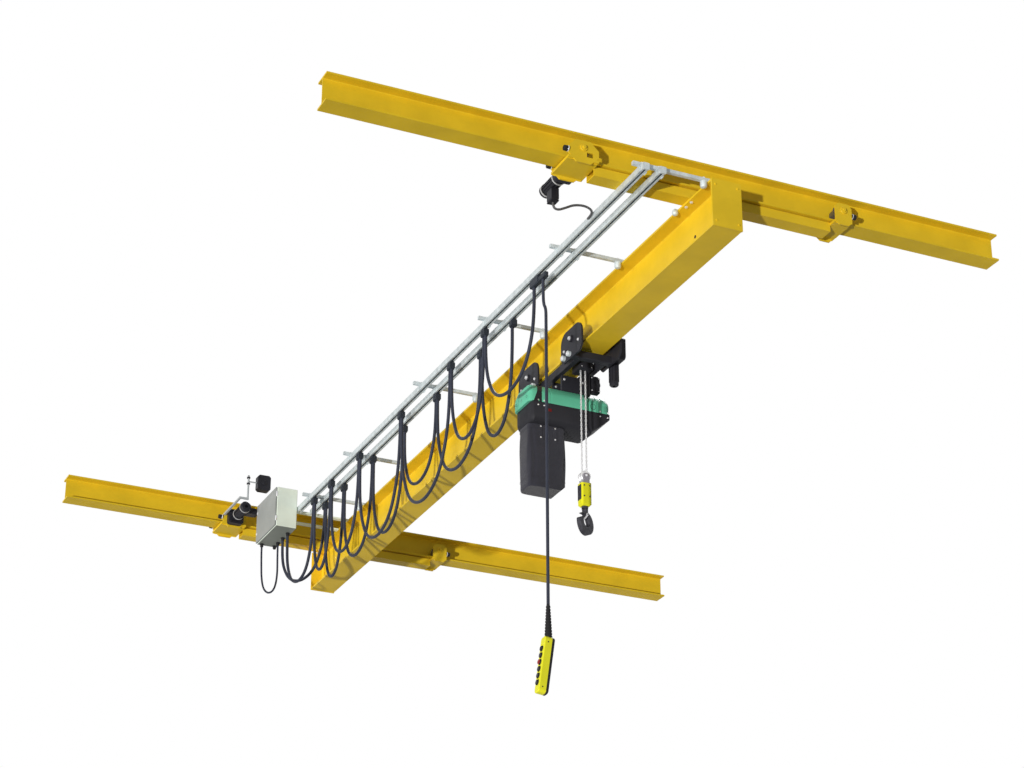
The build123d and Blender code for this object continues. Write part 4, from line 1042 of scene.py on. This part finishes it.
def guide_section():
    """The chain wheel housing's section (x, z): flat below, round at both upper corners."""
    left, right = GUIDE_X
    low, top = GUIDE_Z
    turns = [math.pi / 2 * step / GUIDE_ARC_STEPS for step in range(1, GUIDE_ARC_STEPS + 1)]
    points = [(left, low), (left, top - GUIDE_ROUND)]
    for turn in turns:
        points.append((left + GUIDE_ROUND * (1 - math.cos(turn)), top - GUIDE_ROUND * (1 - math.sin(turn))))
    for turn in turns:
        points.append((right - GUIDE_ROUND * (1 - math.sin(turn)), top - GUIDE_ROUND * (1 - math.cos(turn))))
    return points + [(right, low)]


def chain_guide():
    """The chain wheel's housing and guide, with the gear case and motor behind the falls."""
    front, back = CHAIN_Y - 0.031, HOIST_Y[0]
    half_x, half_z = (GUIDE_X[1] - GUIDE_X[0]) / 2, (GUIDE_Z[1] - GUIDE_Z[0]) / 2
    middle_x, middle_z = sum(GUIDE_X) / 2, sum(GUIDE_Z) / 2
    motor_x, motor_z = MOTOR_PLACE

    def housing(bm):
        rings = []
        for y, shrink in ((front, 0.004), (front + 0.0015, 0.001), (front + 0.004, 0.0), (back, 0.0)):
            wide, tall = 1 - shrink / half_x, 1 - shrink / half_z
            rings.append([
                bm.verts.new((middle_x + (x - middle_x) * wide, y, middle_z + (z - middle_z) * tall))
                for x, z in guide_section()
            ])
        add_skin(bm, rings)
        add_lathe(bm, (0.008, front + 0.0035, -0.500), FRONT, GUIDE_BOSS, 28)
        for x in (-CHAIN_X, CHAIN_X):
            add_lathe(bm, (x, CHAIN_Y, GUIDE_Z[0] + 0.0002), DOWN, GUIDE_LIP, 20)
        add_box(bm, (0.033, back - 0.039, -0.657), (0.058, back, -0.5225), 0.005)
        add_box(bm, (0.055, back - 0.036, -0.632), (0.117, back, -0.530), 0.010)
        add_lathe(bm, (motor_x, back - 0.0355, motor_z), FRONT, MOTOR_COVER, 28)
    thing = piece("chain_wheel_housing", "hoist_black", "trolley", housing)
    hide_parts("chain_guide")

    def bolts(bm):
        for x in (-0.020, 0.036):
            add_bolt(bm, (x, front + 0.002, -0.520), FRONT, 4, False)
        for dx, dz in corners(0.022, 0.036):
            add_bolt(bm, (motor_x + dx, back - 0.0358, motor_z + dz), FRONT, 4, False)
    piece("chain_wheel_bolts", "chain_steel", "trolley", bolts)


# The chain bag

BAG_X = (-0.268, -0.046)
BAG_Y = (1.375, 1.515)
BAG_Z = (-1.180, -0.8325)
BAG_AROUND = 96
BAG_ROWS = 44
BAG_INSET = 0.004
BAG_SQUARENESS = 0.32
BAG_CUT_CORNER = 0.034
BAG_CLOSE_FROM = 0.955
BAG_SAG = 0.0035
BAG_RIPPLE = 0.0009
# Each upright fold: its place round the bag, its depth in millimetres, its width round the bag
BAG_FOLDS = ((0.16, 5.0, 0.030), (0.42, 4.2, 0.024), (0.66, 4.8, 0.028), (0.88, 3.6, 0.024))
BAG_HEMS = ((BAG_Z[1] - 0.016, 0.0150), (BAG_Z[0] + 0.050, 0.004))
STRAP_X = (BAG_X[0] + 0.070, BAG_X[1] - 0.070)
RIVET = [(0, 0.0045), (0.0006, 0.0045), (0.0012, 0.0030), (0.0012, 0)]


def bag_outline(share):
    """A rounded rectangle's point at a share of its way round."""
    turn = 2 * math.pi * share
    x = math.copysign(abs(math.cos(turn)) ** BAG_SQUARENESS, math.cos(turn))
    y = math.copysign(abs(math.sin(turn)) ** BAG_SQUARENESS, math.sin(turn))
    return x, y


def fold_depth(share, down):
    """How far the folds draw the cloth in at a place round the bag and a share of its height."""
    inward = 0.0
    for place, depth, width in BAG_FOLDS:
        middle = place + 0.03 * math.sin(down * 3.1 + place * 9)
        away = min(abs(share - middle), 1 - abs(share - middle))
        fading = 0.35 + 0.65 * math.sin(math.pi * down ** 0.8)
        inward += depth * 0.001 * math.exp(-(away / width) ** 2) * fading
    return inward


def bag():
    """A cloth bag: it hangs from its hem in soft upright folds and sags where the chain lies."""
    centre_x, centre_y = sum(BAG_X) / 2, sum(BAG_Y) / 2
    half_x = (BAG_X[1] - BAG_X[0]) / 2 - BAG_INSET
    half_y = (BAG_Y[1] - BAG_Y[0]) / 2 - BAG_INSET
    shares = [step / BAG_AROUND for step in range(BAG_AROUND)]

    def build(bm):
        rings = []
        for row in range(BAG_ROWS + 1):
            down = row / BAG_ROWS
            z = BAG_Z[1] - down * (BAG_Z[1] - BAG_Z[0])
            shut = max(0, (down - BAG_CLOSE_FROM) / (1 - BAG_CLOSE_FROM))
            close = 1 - 0.05 * shut ** 2
            sag = BAG_SAG * math.sin(math.pi * min(1, down * 1.15)) - 0.002 * (1 - down)
            ring = []
            for share in shares:
                x, y = bag_outline(share)
                ripple = BAG_RIPPLE * math.sin(share * 44 + down * 7) * math.sin(math.pi * down)
                grow = sag - fold_depth(share, down) + ripple
                px = centre_x + x * (half_x + grow) * close
                py = centre_y + y * (half_y + grow) * close
                lift = px - (BAG_X[1] - BAG_CUT_CORNER)
                pz = max(z, BAG_Z[0] + lift) if lift > 0 else z
                ring.append(bm.verts.new((px, py, pz)))
            rings.append(ring)
        add_skin(bm, rings)
    thing = piece("bag_shell", "bag_cloth", "trolley", build)
    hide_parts("chain_bag")

    def trim(bm):
        outline = [bag_outline(share) for share in shares]
        for z, height in BAG_HEMS:
            rings = []
            for level in (z + height / 2, z - height / 2):
                rings.append([
                    bm.verts.new((centre_x + x * (half_x + 0.0012), centre_y + y * (half_y + 0.0012), level))
                    for x, y in outline
                ])
            join_rings(bm, rings)
        for x in STRAP_X:
            low = (x - 0.010, BAG_Y[0] + 0.0008, BAG_Z[1] - 0.085)
            add_box(bm, low, (x + 0.010, BAG_Y[0] + 0.0026, BAG_Z[1] - 0.001), 0.0006)
    piece("bag_hem", "bag_cloth", "trolley", trim)

    def rivets(bm):
        for x, z in pairs(STRAP_X, (BAG_Z[1] - 0.012, BAG_Z[1] - 0.074)):
            add_lathe(bm, (x, BAG_Y[0] + 0.0010, z), FRONT, RIVET, 16)
    piece("bag_rivets", "chain_steel", "trolley", rivets)


# The hook block and hook

HOOK_EYE_Z = -1.130
SHEAVE = [
    (0.0, 0.0045), (0.0, 0.026), (0.002, 0.0285), (0.006, 0.0285), (0.011, 0.0235), (0.017, 0.0215),
    (0.023, 0.0235), (0.028, 0.0285), (0.032, 0.0285), (0.034, 0.026), (0.034, 0.0045),
]


def hook_details():
    def grip(bm):
        add_box(bm, (-0.0296, CHAIN_Y - 0.020, -1.262), (-0.0285, CHAIN_Y + 0.020, -1.180), 0.0004)
        for z, x in pairs((-1.188, -1.246), (-0.016, 0.016)):
            add_bolt(bm, (x, CHAIN_Y - 0.0268, z), FRONT, 4.5, False)
    piece("grip_fasteners", "hook_steel", "hook_block", grip)

    def pin(bm):
        for side in SIDES:
            add_bolt(bm, (0, CHAIN_Y + side * 0.024, HOOK_EYE_Z), (0, side, 0), 6)
    piece("sheave_pin", "chain_steel", "hook_block", pin)

    def wheel(bm):
        add_lathe(bm, (0, CHAIN_Y - SHEAVE[-1][0] / 2, HOOK_EYE_Z), BACK, SHEAVE, 36)
    thing = piece("sheave", "chain_steel", "hook_block", wheel)
    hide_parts("hook_sheave")


# The pendant station

PENDANT_TILT = math.radians(8)
PENDANT_BODY_TOP = -2.199
KEYS = 6
DARK_KEYS = (1, 3, 4, 5)
FIRST_KEY = -0.062
KEY_PITCH = 0.034
KEY_FACE = -0.0329
KEY_COLLAR = [(0, 0.0150), (0.0012, 0.0150), (0.0022, 0.0140), (0.0022, 0.0124), (0.0010, 0.0124)]
KEY_TOP = [(0, 0.0095), (0.0006, 0.0090), (0.0010, 0.0060), (0.0010, 0)]
STOP_KEY = [(0, 0.0118), (0.0016, 0.0122), (0.0030, 0.0105), (0.0034, 0.005), (0.0034, 0)]
STATION_SCREW = [(0, 0.0036), (0.0006, 0.0036), (0.0010, 0.0028), (0.0004, 0.0022), (0.0004, 0)]
SLEEVE_LENGTH = 0.165
SLEEVE_RINGS = 11


def station_piece(name, build, material=None):
    """A piece drawn in the station's own axes, then tilted and placed as it hangs."""
    place = Matrix.Translation((RAIL_X[0], PENDANT_Y, PENDANT_BODY_TOP))
    tilt = Matrix.Rotation(PENDANT_TILT, 4, "Y")

    def placed(bm):
        build(bm)
        bmesh.ops.transform(bm, matrix=place @ tilt, verts=bm.verts)
    piece(name, "rubber", "pendant", placed, material=material)


def pendant_details():
    def collars(bm):
        for row in range(KEYS):
            add_lathe(bm, (-0.0258, 0, FIRST_KEY - row * KEY_PITCH), LEFT, KEY_COLLAR)
    station_piece("key_collars", collars)

    def tops(bm):
        for row in DARK_KEYS:
            add_lathe(bm, (KEY_FACE, 0, FIRST_KEY - row * KEY_PITCH), LEFT, KEY_TOP)
    station_piece("key_tops", tops, paint("key_grey", (0.06, 0.06, 0.065), 0.5))

    def stop(bm):
        add_lathe(bm, (KEY_FACE, 0, FIRST_KEY - 2 * KEY_PITCH), LEFT, STOP_KEY)
    station_piece("stop_key", stop, paint("stop_red", (0.30, 0.012, 0.012), 0.4))

    def seams(bm):
        add_box(bm, (0.0108, -0.0252, -0.270), (0.0124, 0.0252, -0.012), 0.0005)
        for z, side in pairs((-0.030, -0.255), SIDES):
            add_lathe(bm, (-0.008, side * 0.0248, z), (0, side, 0), STATION_SCREW, 14)
    station_piece("station_seams", seams)

    def bellows(bm):
        profile = []
        step = SLEEVE_LENGTH / SLEEVE_RINGS
        for number in range(SLEEVE_RINGS):
            radius = 0.0188 - number / SLEEVE_RINGS * 0.0088
            low = number * step
            profile += [(low, radius), (low + step * 0.45, radius), (low + step * 0.55, radius - 0.0022),
                        (low + step * 0.95, radius - 0.0026)]
        profile += [(SLEEVE_LENGTH, 0.0082)]
        add_lathe(bm, (RAIL_X[0], PENDANT_Y, PENDANT_BODY_TOP), UP, profile, 28)
    thing = piece("sleeve_bellows", "rubber", "pendant", bellows)
    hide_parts("pendant_sleeve")


make_camera()
make_world()
make_floor()
add_light("key", 2.55, (1.0, 0.98, 0.94), (0.69, 0.635, 0.35), 0.025)
add_light("side", 0.88, (1.0, 0.98, 0.96), (0.96, 0.05, 0.20), 0.3)
add_light("back", 1.5, (1.0, 1.0, 1.0), (-0.45, -0.50, -0.74), 0.3)

for dress in (
    dress_nodes, festoon_bays, other_cords, load_chain, beam_welds, carriage_fasteners, drive_details,
    girder_fasteners, cabinet_details, limit_switch_details, carrier_details, trolley_details, hoist_housing,
    hoist_trim, slanted_band, chain_guide, bag, hook_details, pendant_details,
):
    dress()
